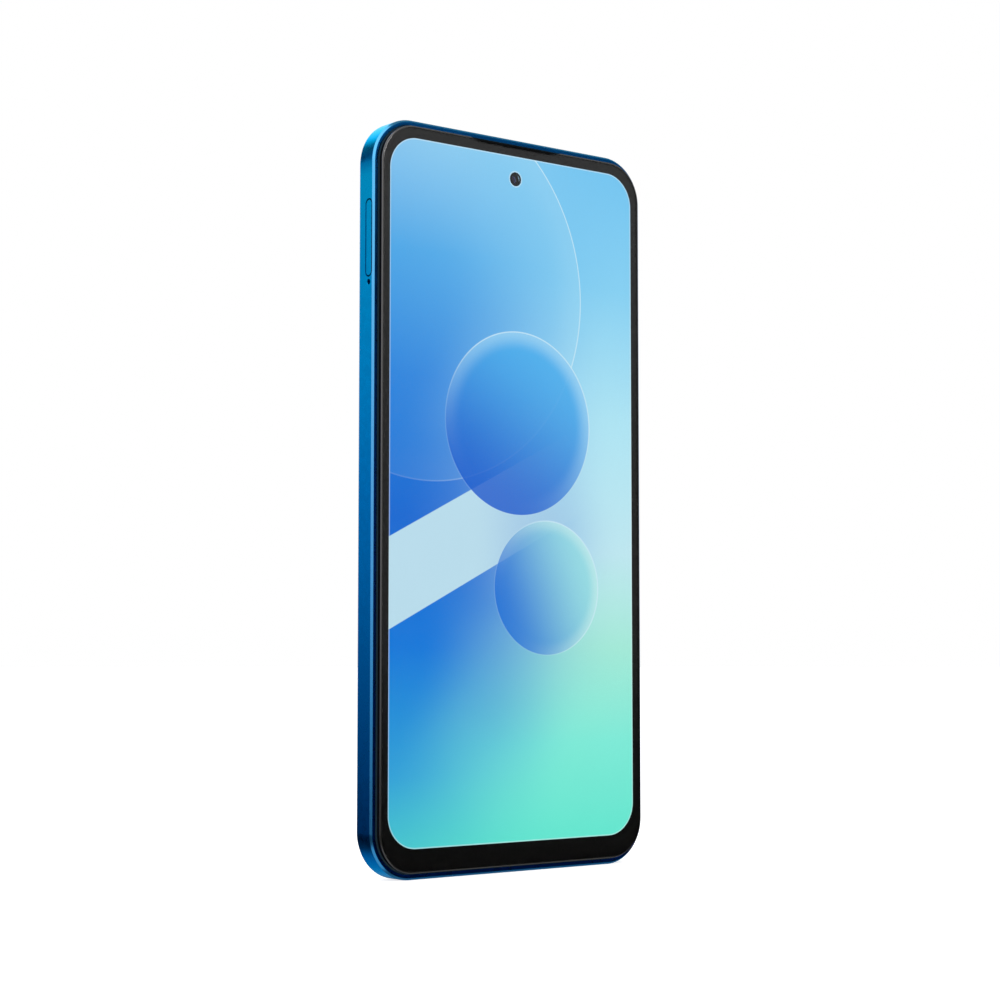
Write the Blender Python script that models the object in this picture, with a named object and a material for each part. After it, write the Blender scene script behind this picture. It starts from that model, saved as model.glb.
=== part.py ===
"""A 6.6-inch smartphone, built as an assembly of separate parts.

Frame: metres. +Z runs up the phone's height, +X is the right-hand side seen from the screen, and
the screen faces -Y. The origin is on the bottom edge, at mid-width and mid-thickness of the body.
"""

import math

import bmesh
import bpy
from mathutils import Matrix, Vector
from mathutils.geometry import interpolate_bezier

MM = 0.001

# ---- Driving dimensions ----------------------------------------------------------------------
BODY_WIDTH = 76.2 * MM
BODY_HEIGHT = 163.3 * MM
BODY_THICKNESS = 8.3 * MM
BODY_CORNER = 10.2 * MM
CORNER_STEPS = 8

FRONT_Y = -BODY_THICKNESS / 2
BACK_Y = BODY_THICKNESS / 2

# The picture area of the display.
SCREEN_WIDTH = 68.8 * MM
SCREEN_HEIGHT = 152.6 * MM
SCREEN_LOW = 6.6 * MM
SCREEN_TOP = SCREEN_LOW + SCREEN_HEIGHT

# How far each ring of parts lies inside the body's outline.
RIM_CHAMFER = 0.45 * MM
REAR_CHAMFER = 0.3 * MM
FRAME_WALL = 1.2 * MM
GLASS_INSET = 1.5 * MM
DISPLAY_INSET = 2.8 * MM
COVER_LIP_INSET = 1.35 * MM
COVER_LIP_WALL = 0.8 * MM

# The layers from front to back, as Y places.
GLASS_BACK = FRONT_Y + 0.6 * MM
PANEL_FRONT = GLASS_BACK + 0.05 * MM
PANEL_BACK = PANEL_FRONT + 0.7 * MM
BACKLIGHT_FRONT = PANEL_BACK + 0.05 * MM
BACKLIGHT_BACK = BACKLIGHT_FRONT + 0.6 * MM
PLATE_FRONT = BACKLIGHT_BACK + 0.1 * MM
PLATE_BACK = PLATE_FRONT + 0.4 * MM
RIM_Y = FRONT_Y + 1.35 * MM
SEAM_Y = 2.45 * MM
COVER_WALL = 0.8 * MM
COVER_INSIDE = BACK_Y - COVER_WALL
BOARD_FRONT = 0.05 * MM
BOARD_BACK = 0.85 * MM
BRACKET_FRONT = 2.35 * MM
BRACKET_BACK = 3.25 * MM

SLIT = 0.05 * MM  # the gap between glued or stacked layers
FIT = 0.1 * MM  # the gap around a piece that sits in a pocket
PAST = 1.0 * MM  # how far a cutter runs past the wall it cuts

# Battery bay.
BATTERY_HALF_WIDTH = 32.5 * MM
BATTERY_LOW = 27.0 * MM
BATTERY_TOP = 118.5 * MM
RIB_GAP = 0.6 * MM
RIB_WALL = 0.8 * MM

# Boards.
MAIN_BOARD_LOW = 121.5 * MM
SUB_BOARD_TOP = 24.5 * MM

# Front camera and earpiece slit.
FRONT_CAMERA_Z = SCREEN_TOP - 5.15 * MM
FRONT_CAMERA_HOLE = 1.57 * MM
EARPIECE_HALF_WIDTH = 12.0 * MM
EARPIECE_SLIT_DEPTH = 0.85 * MM

# Card tray on the left side, and its ejector.
TRAY_LOW = 128.4 * MM
TRAY_TOP = 144.8 * MM
TRAY_Y = -1.15 * MM
TRAY_HEAD_HEIGHT = 1.95 * MM
TRAY_INNER_END = 1.5 * MM
NANO_SIM = (8.8 * MM + 2 * 0.1 * MM, 12.3 * MM + 2 * 0.1 * MM)
MEMORY_CARD = (15.0 * MM + 2 * 0.1 * MM, 11.0 * MM + 2 * 0.1 * MM)
# Each card's pocket is (start, length, width), from the tray's head inwards.
CARDS = ((-35.6 * MM, *NANO_SIM), (-25.6 * MM, *NANO_SIM), (-15.6 * MM, *MEMORY_CARD))
EJECT_Z = 127.0 * MM
EJECT_HOLE_RADIUS = 0.55 * MM
LEVER_X = 4.3 * MM
LEVER_Z = EJECT_Z + 3.6 * MM

# Keys on the right side.
KEY_Y = -0.15 * MM
KEY_HEIGHT = 2.3 * MM
KEY_PROUD = 0.45 * MM
KEY_FLANGE_OUTER = 36.55 * MM
KEY_FLANGE_INNER = 35.95 * MM
KEY_NUB_END = 35.6 * MM
POWER_Z = 104.5 * MM
POWER_LENGTH = 14.0 * MM
VOLUME_Z = 128.5 * MM
VOLUME_LENGTH = 20.0 * MM
VOLUME_NUB_OFFSET = 6.5 * MM

# Ports on the bottom edge.
USB_WIDTH = 9.0 * MM
USB_HEIGHT = 3.2 * MM
JACK_X = -22.5 * MM
JACK_BORE = 1.8 * MM
MICROPHONE_X = -12.0 * MM
SPEAKER_X = 20.0 * MM
SPEAKER_SLOTS = 6
SPEAKER_PITCH = 2.5 * MM

# Rear cameras.
ISLAND = (4.0 * MM, 33.0 * MM, 118.5 * MM, 158.5 * MM)
ISLAND_CORNER = 7.0 * MM
ISLAND_RECESS = 0.3 * MM
ISLAND_BASE = BACK_Y - ISLAND_RECESS + 0.05 * MM
ISLAND_BACK = BACK_Y + 1.05 * MM
LENS_LEDGE = ISLAND_BASE + 0.6 * MM
LENS_X = 22.5 * MM
MAIN_LENS_Z = 148.0 * MM
SECOND_LENS_Z = 131.0 * MM
LENS_RING_RADIUS = 7.0 * MM
LENS_GLASS_RADIUS = 5.2 * MM
FLASH_X = 9.8 * MM
FLASH_Z = MAIN_LENS_Z
FLASH_RADIUS = 2.3 * MM

# Vibration motor, whose shaft runs along Z.
MOTOR_X = -31.3 * MM
MOTOR_Y = 0.35 * MM
MOTOR_RADIUS = 1.8 * MM

# Screws, as (x, z) places.
UPPER_SCREWS = ((-31.5, 156.5), (7.5, 157.0), (31.5, 157.0), (-31.5, 124.0), (13.0, 124.0))
LOWER_SCREWS = ((-33.0, 21.8), (5.5, 21.8), (34.2, 21.8))
SCREWS = [(x * MM, z * MM) for x, z in UPPER_SCREWS + LOWER_SCREWS]
SCREW_SHANK_RADIUS = 0.7 * MM
SCREW_HEAD_RADIUS = 1.3 * MM
SCREW_HEAD_SEAT = 2.7 * MM
BOSS_RADIUS = 1.5 * MM


# ---- Building blocks -------------------------------------------------------------------------
def clear_scene():
    for obj in list(bpy.data.objects):
        bpy.data.objects.remove(obj, do_unlink=True)


def make_material(name, colour, roughness, metallic=0.0, alpha=1.0):
    material = bpy.data.materials.new(name)
    material.use_nodes = True
    shader = material.node_tree.nodes["Principled BSDF"]
    shader.inputs["Base Color"].default_value = (*colour, 1.0)
    shader.inputs["Roughness"].default_value = roughness
    shader.inputs["Metallic"].default_value = metallic
    shader.inputs["Alpha"].default_value = alpha
    return material


def box_outline(a0, a1, b0, b1, radius=0.0, low_radius=None, steps=5):
    """A rectangle as (a, b) points. Its upper corners have radius, and its lower ones low_radius."""
    low_radius = radius if low_radius is None else low_radius
    corners = (
        (a1, b1, -1, -1, radius, 0),
        (a0, b1, 1, -1, radius, 90),
        (a0, b0, 1, 1, low_radius, 180),
        (a1, b0, -1, 1, low_radius, 270),
    )
    points = []
    for a, b, inward_a, inward_b, r, start in corners:
        count = steps if r > 0 else 0
        for step in range(count + 1):
            angle = math.radians(start + 90 * step / max(count, 1))
            points.append(
                (a + inward_a * r + r * math.cos(angle), b + inward_b * r + r * math.sin(angle))
            )
    return points


def body_outline(inset):
    """The phone's outline in X and Z, moved inwards by inset."""
    half = BODY_WIDTH / 2 - inset
    return box_outline(
        -half, half, inset, BODY_HEIGHT - inset, BODY_CORNER - inset, steps=CORNER_STEPS
    )


def slot_outline(a, b, length_a, length_b, steps=4):
    """A slot with round ends, centred on (a, b)."""
    radius = min(length_a, length_b) / 2 * 0.999
    return box_outline(
        a - length_a / 2, a + length_a / 2, b - length_b / 2, b + length_b / 2, radius, steps=steps
    )


def circle(a, b, radius, segments=20):
    angles = [2 * math.pi * k / segments for k in range(segments)]
    return [(a + radius * math.cos(t), b + radius * math.sin(t)) for t in angles]


def placed(points, height, axis):
    """2-D points set at a height along an axis: (y, z) on x, (x, z) on y, and (x, y) on z."""
    if axis == "x":
        return [(height, a, b) for a, b in points]
    if axis == "y":
        return [(a, height, b) for a, b in points]
    return [(a, b, height) for a, b in points]


def object_of(name, bm, material, pivot=None):
    """The object of a closed bmesh, with its origin at pivot, or else at its middle."""
    bmesh.ops.recalc_face_normals(bm, faces=bm.faces)
    places = [v.co for v in bm.verts]
    low = Vector([min(p[k] for p in places) for k in range(3)])
    high = Vector([max(p[k] for p in places) for k in range(3)])
    origin = (low + high) / 2 if pivot is None else Vector(pivot)
    bm.transform(Matrix.Translation(-origin))
    mesh = bpy.data.meshes.new(name)
    bm.to_mesh(mesh)
    bm.free()
    mesh.shade_smooth()
    mesh.set_sharp_from_angle(angle=math.radians(35))
    if material:
        mesh.materials.append(material)
    obj = bpy.data.objects.new(name, mesh)
    obj.location = origin
    bpy.context.scene.collection.objects.link(obj)
    return obj


def loft(name, loops, material=None, ring=False, pivot=None):
    """A solid through loops of equal length. Its ends are capped, or as a ring join each other."""
    bm = bmesh.new()
    rows = [[bm.verts.new(p) for p in loop] for loop in loops]
    pairs = list(zip(rows, rows[1:] + rows[:1]))
    for lower, upper in pairs if ring else pairs[:-1]:
        for k in range(len(lower)):
            n = (k + 1) % len(lower)
            bm.faces.new((lower[k], lower[n], upper[n], upper[k]))
    if not ring:
        bm.faces.new(rows[0][::-1])
        bm.faces.new(rows[-1])
    return object_of(name, bm, material, pivot)


def slab(name, points, low, high, axis, material=None, pivot=None):
    """A flat outline made solid from low to high along an axis."""
    loops = [placed(points, low, axis), placed(points, high, axis)]
    return loft(name, loops, material, pivot=pivot)


def rail(name, profile, material):
    """A ring that follows the phone's outline. The profile is a closed list of (inset, y)."""
    loops = [placed(body_outline(inset), y, "y") for inset, y in profile]
    return loft(name, loops, material, ring=True)


def turned(name, a, b, profile, axis, material=None, segments=20, ring=False, pivot=None):
    """A turned solid about an axis through (a, b). The profile is a list of (radius, height)."""
    loops = [placed(circle(a, b, radius, segments), height, axis) for radius, height in profile]
    return loft(name, loops, material, ring=ring, pivot=pivot)


def box(name, x, y, z, material=None, radius=0.0, pivot=None):
    """A block from x[0] to x[1] and so on, with its corners rounded as seen along Y."""
    outline = box_outline(x[0], x[1], z[0], z[1], radius, steps=3)
    return slab(name, outline, y[0], y[1], "y", material, pivot)


def tub(name, x, y, z, wall, material):
    """A thin lid whose open side is at y[0] and whose closed side is at y[1]."""
    outer = box_outline(x[0], x[1], z[0], z[1])
    inner = box_outline(x[0] + wall, x[1] - wall, z[0] + wall, z[1] - wall)
    inside = y[1] - math.copysign(wall, y[1] - y[0])
    loops = [
        placed(outer, y[1], "y"),
        placed(outer, y[0], "y"),
        placed(inner, y[0], "y"),
        placed(inner, inside, "y"),
    ]
    return loft(name, loops, material)


def ribbon(name, x, path, thickness, material):
    """A flat strip from x[0] to x[1], whose middle follows path, a list of (y, z)."""
    sides = ([], [])
    for k, (y, z) in enumerate(path):
        before = path[max(k - 1, 0)]
        after = path[min(k + 1, len(path) - 1)]
        along = Vector((after[0] - before[0], after[1] - before[1])).normalized()
        for side, sign in zip(sides, (1, -1)):
            shift = sign * thickness / 2
            side.append((y - along.y * shift, z + along.x * shift))
    outline = sides[0] + sides[1][::-1]
    return slab(name, outline, x[0], x[1], "x", material)


def combine(operation, target, others):
    for other in others:
        modifier = target.modifiers.new(f"{operation.lower()}_{other.name}", "BOOLEAN")
        modifier.operation = operation
        modifier.solver = "EXACT"
        modifier.object = other
        other.hide_render = True
        other.display_type = "WIRE"
    return target


def cut(target, *cutters):
    return combine("DIFFERENCE", target, cutters)


def add(target, *others):
    return combine("UNION", target, others)


def soften(obj, width, segments=1):
    """Bevels the outer edges of a block before anything is cut from it."""
    bevel = obj.modifiers.new("edges", "BEVEL")
    bevel.width = width
    bevel.segments = segments
    bevel.limit_method = "ANGLE"
    bevel.angle_limit = math.radians(50)
    return obj


def group(name, objects):
    """Parents objects to an empty at the phone's origin."""
    empty = bpy.data.objects.new(name, None)
    bpy.context.scene.collection.objects.link(empty)
    for obj in objects:
        obj.parent = empty
    return empty


# ---- Front: glass, display and what shows through them ---------------------------------------
def earpiece_cutter(name, inset, y0, y1):
    """Opens a notch over the earpiece, in from the top edge of a part with this inset."""
    top = BODY_HEIGHT - inset
    half = EARPIECE_HALF_WIDTH
    points = box_outline(-half, half, top - EARPIECE_SLIT_DEPTH, top + PAST, 0.0, 0.4 * MM)
    return slab(name, points, y0, y1, "y")


def make_cover_glass(material):
    edge = 0.35 * MM
    loops = [
        placed(body_outline(GLASS_INSET + 1.2 * edge), FRONT_Y, "y"),
        placed(body_outline(GLASS_INSET + 0.4 * edge), FRONT_Y + 0.35 * edge, "y"),
        placed(body_outline(GLASS_INSET), FRONT_Y + edge, "y"),
        placed(body_outline(GLASS_INSET), GLASS_BACK, "y"),
    ]
    glass = loft("cover_glass", loops, material)
    return cut(
        glass, earpiece_cutter("glass_notch", GLASS_INSET, FRONT_Y - PAST, GLASS_BACK + PAST)
    )


def display_outline():
    half = BODY_WIDTH / 2 - DISPLAY_INSET
    low = SCREEN_LOW - 3.2 * MM
    return box_outline(-half, half, low, SCREEN_TOP + 1.0 * MM, 7.9 * MM)


def make_display_panel(material):
    panel = slab("display_panel", display_outline(), PANEL_FRONT, PANEL_BACK, "y", material)
    hole = circle(0, FRONT_CAMERA_Z, FRONT_CAMERA_HOLE)
    return cut(panel, slab("panel_hole", hole, PANEL_FRONT - PAST, PANEL_BACK + PAST, "y"))


def make_backlight(material):
    light = slab(
        "display_backlight", display_outline(), BACKLIGHT_FRONT, BACKLIGHT_BACK, "y", material
    )
    hole = circle(0, FRONT_CAMERA_Z, 2.1 * MM)
    return cut(light, slab("backlight_hole", hole, PANEL_BACK, BACKLIGHT_BACK + PAST, "y"))


def make_display_gasket(material):
    inner = DISPLAY_INSET - 0.2 * MM
    outer = GLASS_INSET + SLIT
    front = GLASS_BACK + SLIT
    back = PLATE_FRONT - SLIT
    gasket = rail(
        "display_gasket", [(outer, front), (outer, back), (inner, back), (inner, front)], material
    )
    notch = earpiece_cutter("gasket_notch", outer, front - PAST, RIM_Y - FIT)
    return cut(gasket, notch)


def make_display_flex(material):
    path = [
        (-3.1 * MM, 3.25 * MM),
        (-2.9 * MM, 3.0 * MM),
        (-1.3 * MM, 3.0 * MM),
        (-0.7 * MM, 3.3 * MM),
        (-0.45 * MM, 4.2 * MM),
        (-0.45 * MM, 9.5 * MM),
    ]
    return ribbon("display_flex", (-17.0 * MM, -6.0 * MM), path, 0.15 * MM, material)


def make_earpiece_mesh(material):
    half = EARPIECE_HALF_WIDTH - 0.3 * MM
    top = BODY_HEIGHT - GLASS_INSET
    points = box_outline(-half, half, top - EARPIECE_SLIT_DEPTH + FIT, top - FIT, 0.25 * MM, steps=3)
    return slab("earpiece_mesh", points, FRONT_Y + 0.45 * MM, GLASS_BACK + 0.3 * MM, "y", material)


def make_earpiece_speaker(material):
    z = (153.0 * MM, 159.0 * MM)
    x = (-17.5 * MM, -5.5 * MM)
    speaker = box("earpiece_speaker", x, (PLATE_BACK + FIT, -SLIT), z, material, 1.2 * MM)
    return soften(speaker, 0.2 * MM)


def make_front_camera(material):
    half = 3.2 * MM
    body = box(
        "front_camera",
        (-half, half),
        (-1.55 * MM, 1.4 * MM),
        (FRONT_CAMERA_Z - half, FRONT_CAMERA_Z + half),
        material,
        0.4 * MM,
    )
    barrel = turned(
        "front_camera_barrel",
        0,
        FRONT_CAMERA_Z,
        [(1.9 * MM, 0), (1.9 * MM, BACKLIGHT_FRONT + 0.2 * MM), (1.6 * MM, BACKLIGHT_FRONT)],
        "y",
    )
    eye = turned(
        "front_camera_eye",
        0,
        FRONT_CAMERA_Z,
        [(1.0 * MM, BACKLIGHT_FRONT - PAST), (0.6 * MM, BACKLIGHT_FRONT + 0.5 * MM)],
        "y",
        segments=16,
    )
    return cut(add(body, barrel), eye)


def make_front(m):
    return [
        make_cover_glass(m["glass"]),
        make_display_panel(m["screen"]),
        make_backlight(m["steel"]),
        make_display_gasket(m["black_plastic"]),
        make_display_flex(m["flex"]),
        make_earpiece_mesh(m["mesh"]),
        make_earpiece_speaker(m["black_plastic"]),
        make_front_camera(m["lens_black"]),
    ]


# ---- Frame -----------------------------------------------------------------------------------
def side_cutter(name, y, z, height, length, sign):
    """A slot through the left (-1) or right (+1) wall."""
    outer = BODY_WIDTH / 2 + PAST
    inner = BODY_WIDTH / 2 - FRAME_WALL - PAST
    points = slot_outline(y, z, height, length)
    return slab(name, points, sign * inner, sign * outer, "x")


def bottom_cutter(name, x, y, width, height):
    """A slot or a round hole through the bottom wall."""
    points = slot_outline(x, y, width, height)
    return slab(name, points, -PAST, FRAME_WALL + PAST, "z")


def make_side_frame(material):
    frame = rail(
        "side_frame",
        [
            (RIM_CHAMFER, RIM_Y),
            (0.0, RIM_Y + RIM_CHAMFER),
            (0.0, SEAM_Y - REAR_CHAMFER),
            (REAR_CHAMFER, SEAM_Y),
            (FRAME_WALL, SEAM_Y),
            (FRAME_WALL, RIM_Y),
        ],
        material,
    )
    tray_z = (TRAY_LOW + TRAY_TOP) / 2
    tray_length = TRAY_TOP - TRAY_LOW + 2 * FIT
    key_height = KEY_HEIGHT + 3 * FIT
    openings = [
        side_cutter("tray_slot", TRAY_Y, tray_z, TRAY_HEAD_HEIGHT + 2 * FIT, tray_length, -1),
        side_cutter(
            "eject_hole", TRAY_Y, EJECT_Z, 2 * EJECT_HOLE_RADIUS, 2 * EJECT_HOLE_RADIUS, -1
        ),
        side_cutter("power_slot", KEY_Y, POWER_Z, key_height, POWER_LENGTH + 3 * FIT, 1),
        side_cutter("volume_slot", KEY_Y, VOLUME_Z, key_height, VOLUME_LENGTH + 3 * FIT, 1),
        bottom_cutter("usb_slot", 0, 0, USB_WIDTH + 2 * FIT, USB_HEIGHT + 2 * FIT),
        bottom_cutter("jack_hole", JACK_X, 0, 2 * JACK_BORE, 2 * JACK_BORE),
        bottom_cutter("microphone_hole", MICROPHONE_X, 0, 1.0 * MM, 1.0 * MM),
    ]
    first = SPEAKER_X - SPEAKER_PITCH * (SPEAKER_SLOTS - 1) / 2
    for k in range(SPEAKER_SLOTS):
        x = first + k * SPEAKER_PITCH
        openings.append(bottom_cutter(f"speaker_slot_{k}", x, 0, 1.3 * MM, 2.2 * MM))
    return cut(frame, *openings)


def make_midframe_plate(material):
    """The inner plate, with the battery bay's rib and the screw bosses on its back."""
    plate = slab(
        "midframe_plate", body_outline(FRAME_WALL + FIT), PLATE_FRONT, PLATE_BACK, "y", material
    )
    half = BATTERY_HALF_WIDTH + RIB_GAP
    low = BATTERY_LOW - RIB_GAP
    top = BATTERY_TOP + RIB_GAP
    root = PLATE_FRONT + 0.2 * MM
    rib_top = 0.5 * MM
    inner = box_outline(-half, half, low, top, 1.0 * MM, steps=3)
    w = RIB_WALL
    outer = box_outline(-half - w, half + w, low - w, top + w, 1.0 * MM + w, steps=3)
    rib = loft(
        "battery_rib",
        [
            placed(outer, root, "y"),
            placed(outer, rib_top, "y"),
            placed(inner, rib_top, "y"),
            placed(inner, root, "y"),
        ],
        ring=True,
    )
    bosses = [
        turned(f"boss_{k}", x, z, [(BOSS_RADIUS, root), (BOSS_RADIUS, 0.0)], "y", segments=12)
        for k, (x, z) in enumerate(SCREWS)
    ]
    bore = SCREW_SHANK_RADIUS + FIT
    bores = [
        turned(f"boss_bore_{k}", x, z, [(bore, -1.5 * MM), (bore, PAST)], "y", segments=12)
        for k, (x, z) in enumerate(SCREWS)
    ]
    through = (PLATE_FRONT - PAST, PLATE_BACK + PAST)
    half_camera = 3.5 * MM
    windows = [
        box(
            "plate_camera_window",
            (-half_camera, half_camera),
            through,
            (FRONT_CAMERA_Z - half_camera, FRONT_CAMERA_Z + half_camera),
        ),
        box("plate_jack_window", (JACK_X - 3.2 * MM, JACK_X + 3.2 * MM), through, (-PAST, 15.3 * MM)),
        box("plate_flex_window", (-17.5 * MM, -5.5 * MM), through, (-PAST, 3.7 * MM)),
    ]
    return cut(add(plate, rib, *bosses), *bores, *windows)


# ---- Left side: card tray and ejector --------------------------------------------------------
def make_sim_tray(material):
    head = slab(
        "sim_tray",
        slot_outline(TRAY_Y, (TRAY_LOW + TRAY_TOP) / 2, TRAY_HEAD_HEIGHT, TRAY_TOP - TRAY_LOW),
        -BODY_WIDTH / 2,
        -BODY_WIDTH / 2 + FRAME_WALL - SLIT,
        "x",
        material,
        pivot=(-BODY_WIDTH / 2, TRAY_Y, (TRAY_LOW + TRAY_TOP) / 2),
    )
    y = (TRAY_Y - 0.15 * MM, TRAY_Y + 0.5 * MM)
    z = (TRAY_LOW + 1.0 * MM, TRAY_TOP - 1.0 * MM)
    blade = box("tray_blade", (-37.2 * MM, TRAY_INNER_END), y, z, radius=0.5 * MM)
    middle = (z[0] + z[1]) / 2
    ledge = 0.8 * MM
    cutters = []
    for k, (start, length, width) in enumerate(CARDS):
        x = (start, start + length)
        pocket_z = (middle - width / 2, middle + width / 2)
        cutters.append(
            box(f"tray_pocket_{k}", x, (TRAY_Y + 0.1 * MM, y[1] + PAST), pocket_z)
        )
        window_z = (pocket_z[0] + ledge, pocket_z[1] - ledge)
        window_x = (x[0] + ledge, x[1] - ledge)
        cutters.append(box(f"tray_window_{k}", window_x, (y[0] - PAST, y[1] + PAST), window_z))
    return cut(add(head, blade), *cutters)


def make_tray_seal(material):
    """A soft ring round the blade, behind the tray's head and small enough to leave by the slot."""
    y0, y1 = TRAY_Y - 0.15 * MM - SLIT, TRAY_Y + 0.5 * MM + SLIT
    z0, z1 = TRAY_LOW + MM - SLIT, TRAY_TOP - MM + SLIT
    wall = 0.22 * MM
    inner = box_outline(y0, y1, z0, z1)
    outer = box_outline(y0 - wall, y1 + wall, z0 - wall, z1 + wall)
    x0, x1 = -36.88 * MM, -36.4 * MM
    loops = [
        placed(outer, x0, "x"),
        placed(outer, x1, "x"),
        placed(inner, x1, "x"),
        placed(inner, x0, "x"),
    ]
    return loft("sim_tray_seal", loops, material, ring=True)


def make_sim_connector(material):
    """The sheet-metal cage that the tray slides in, open at both ends."""
    wall = 0.15 * MM
    y0, y1 = -1.55 * MM, -SLIT
    z0, z1 = TRAY_LOW + 0.5 * MM, TRAY_TOP - 0.5 * MM
    x0, x1 = -36.2 * MM, TRAY_INNER_END + 0.6 * MM
    outer = box_outline(y0, y1, z0, z1)
    inner = box_outline(y0 + wall, y1 - wall, z0 + wall, z1 - wall)
    loops = [
        placed(outer, x0, "x"),
        placed(outer, x1, "x"),
        placed(inner, x1, "x"),
        placed(inner, x0, "x"),
    ]
    cage = loft("sim_connector", loops, material, ring=True)
    windows = [
        box(f"cage_window_{k}", (x, x + 7.0 * MM), (y0 - PAST, y0 + 0.5 * MM), (131.5 * MM, 141.5 * MM))
        for k, x in enumerate((-34.5 * MM, -24.5 * MM, -12.0 * MM))
    ]
    return cut(cage, *windows)


def make_eject_rod(material):
    start = -BODY_WIDTH / 2 + FRAME_WALL + 0.2 * MM
    end = LEVER_X - 1.15 * MM
    half_y, half_z = 0.35 * MM, 0.45 * MM
    points = box_outline(
        TRAY_Y - half_y, TRAY_Y + half_y, EJECT_Z - half_z, EJECT_Z + half_z, 0.15 * MM, steps=2
    )
    return slab("eject_rod", points, start, end, "x", material, pivot=(start, TRAY_Y, EJECT_Z))


def make_eject_lever(material):
    low = EJECT_Z - 0.6 * MM
    top = LEVER_Z + 5.9 * MM
    lever = slab(
        "eject_lever",
        slot_outline(LEVER_X, (low + top) / 2, 2.0 * MM, top - low),
        TRAY_Y - 0.2 * MM,
        TRAY_Y + 0.3 * MM,
        "y",
        material,
        pivot=(LEVER_X, TRAY_Y, LEVER_Z),
    )
    bore = circle(LEVER_X, LEVER_Z, 0.6 * MM, 20)
    return cut(lever, slab("lever_bore", bore, TRAY_Y - PAST, TRAY_Y + PAST, "y"))


def make_lever_pin(material):
    head_y = TRAY_Y - 0.2 * MM - SLIT
    profile = [
        (0.8 * MM, head_y - 0.15 * MM),
        (0.8 * MM, head_y),
        (0.55 * MM, head_y),
        (0.55 * MM, -SLIT),
    ]
    return turned("eject_lever_pin", LEVER_X, LEVER_Z, profile, "y", material, 20)


def make_left_side(m):
    return [
        make_sim_tray(m["blue_metal"]),
        make_tray_seal(m["rubber"]),
        make_sim_connector(m["steel"]),
        make_eject_rod(m["steel"]),
        make_eject_lever(m["steel"]),
        make_lever_pin(m["steel"]),
    ]


# ---- Right side: keys ------------------------------------------------------------------------
def make_key(name, z, length, proud, nub_offsets, material):
    """A key cap in its slot, with a flange behind the wall and nubs that press the switches."""
    cap = slab(
        name,
        slot_outline(KEY_Y, z, KEY_HEIGHT, length),
        KEY_FLANGE_INNER + FIT,
        BODY_WIDTH / 2 + proud,
        "x",
        material,
        pivot=((KEY_FLANGE_OUTER + KEY_FLANGE_INNER) / 2, KEY_Y, z),
    )
    half_height = 1.35 * MM
    half_length = length / 2 + 0.7 * MM
    flange_outline = box_outline(
        KEY_Y - half_height, KEY_Y + half_height, z - half_length, z + half_length, 0.5 * MM, steps=2
    )
    flange = slab(f"{name}_flange", flange_outline, KEY_FLANGE_INNER, KEY_FLANGE_OUTER, "x")
    nubs = [
        turned(
            f"{name}_nub_{k}",
            KEY_Y,
            z + offset,
            [(0.8 * MM, KEY_FLANGE_INNER + 0.2 * MM), (0.6 * MM, KEY_NUB_END)],
            "x",
            segments=12,
        )
        for k, offset in enumerate(nub_offsets)
    ]
    return add(cap, flange, *nubs)


def make_power_button(material):
    button = make_key("power_button", POWER_Z, POWER_LENGTH, 0.25 * MM, (0.0,), material)
    recess = slab(
        "sensor_recess",
        slot_outline(KEY_Y, POWER_Z, KEY_HEIGHT - 0.6 * MM, POWER_LENGTH - 0.6 * MM),
        BODY_WIDTH / 2 - 0.15 * MM,
        BODY_WIDTH / 2 + PAST,
        "x",
    )
    return cut(button, recess)


def make_fingerprint_sensor(material):
    outline = slot_outline(KEY_Y, POWER_Z, KEY_HEIGHT - 0.8 * MM, POWER_LENGTH - 0.8 * MM)
    return slab(
        "fingerprint_sensor",
        outline,
        BODY_WIDTH / 2 - FIT,
        BODY_WIDTH / 2 + 0.15 * MM,
        "x",
        material,
        pivot=((KEY_FLANGE_OUTER + KEY_FLANGE_INNER) / 2, KEY_Y, POWER_Z),
    )


def make_side_key_flex(material):
    """The flexible circuit behind the keys, with its three switches."""
    x0, x1 = 34.4 * MM, 34.6 * MM
    points = box_outline(-1.4 * MM, 1.1 * MM, 96.0 * MM, 140.0 * MM, 0.4 * MM, steps=2)
    flex = slab("side_key_flex", points, x0, x1, "x", material)
    switches = []
    for k, z in enumerate((POWER_Z, VOLUME_Z - VOLUME_NUB_OFFSET, VOLUME_Z + VOLUME_NUB_OFFSET)):
        profile = [(1.15 * MM, x0 + SLIT), (1.15 * MM, 35.0 * MM), (0.85 * MM, 35.25 * MM)]
        switches.append(turned(f"switch_{k}", KEY_Y, z, profile, "x", segments=12))
    return add(flex, *switches)


def make_side_key_bracket(material):
    points = box_outline(-1.4 * MM, 1.1 * MM, 96.5 * MM, 139.5 * MM, 0.4 * MM, steps=2)
    return slab("side_key_bracket", points, 34.1 * MM, 34.35 * MM, "x", material)


def make_right_side(m):
    offsets = (-VOLUME_NUB_OFFSET, VOLUME_NUB_OFFSET)
    return [
        make_power_button(m["blue_metal"]),
        make_fingerprint_sensor(m["blue_metal"]),
        make_key("volume_rocker", VOLUME_Z, VOLUME_LENGTH, KEY_PROUD, offsets, m["blue_metal"]),
        make_side_key_flex(m["flex"]),
        make_side_key_bracket(m["steel"]),
    ]


# ---- Inside: boards, battery and modules -----------------------------------------------------
def screw_cutters(name, screws, radius, y0, y1):
    return [
        turned(f"{name}_{k}", x, z, [(radius, y0), (radius, y1)], "y", segments=12)
        for k, (x, z) in enumerate(screws)
    ]


def camera_cutter(name, z, half, y0, y1):
    """A square window round a rear camera."""
    return box(name, (LENS_X - half, LENS_X + half), (y0, y1), (z - half, z + half))


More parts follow.
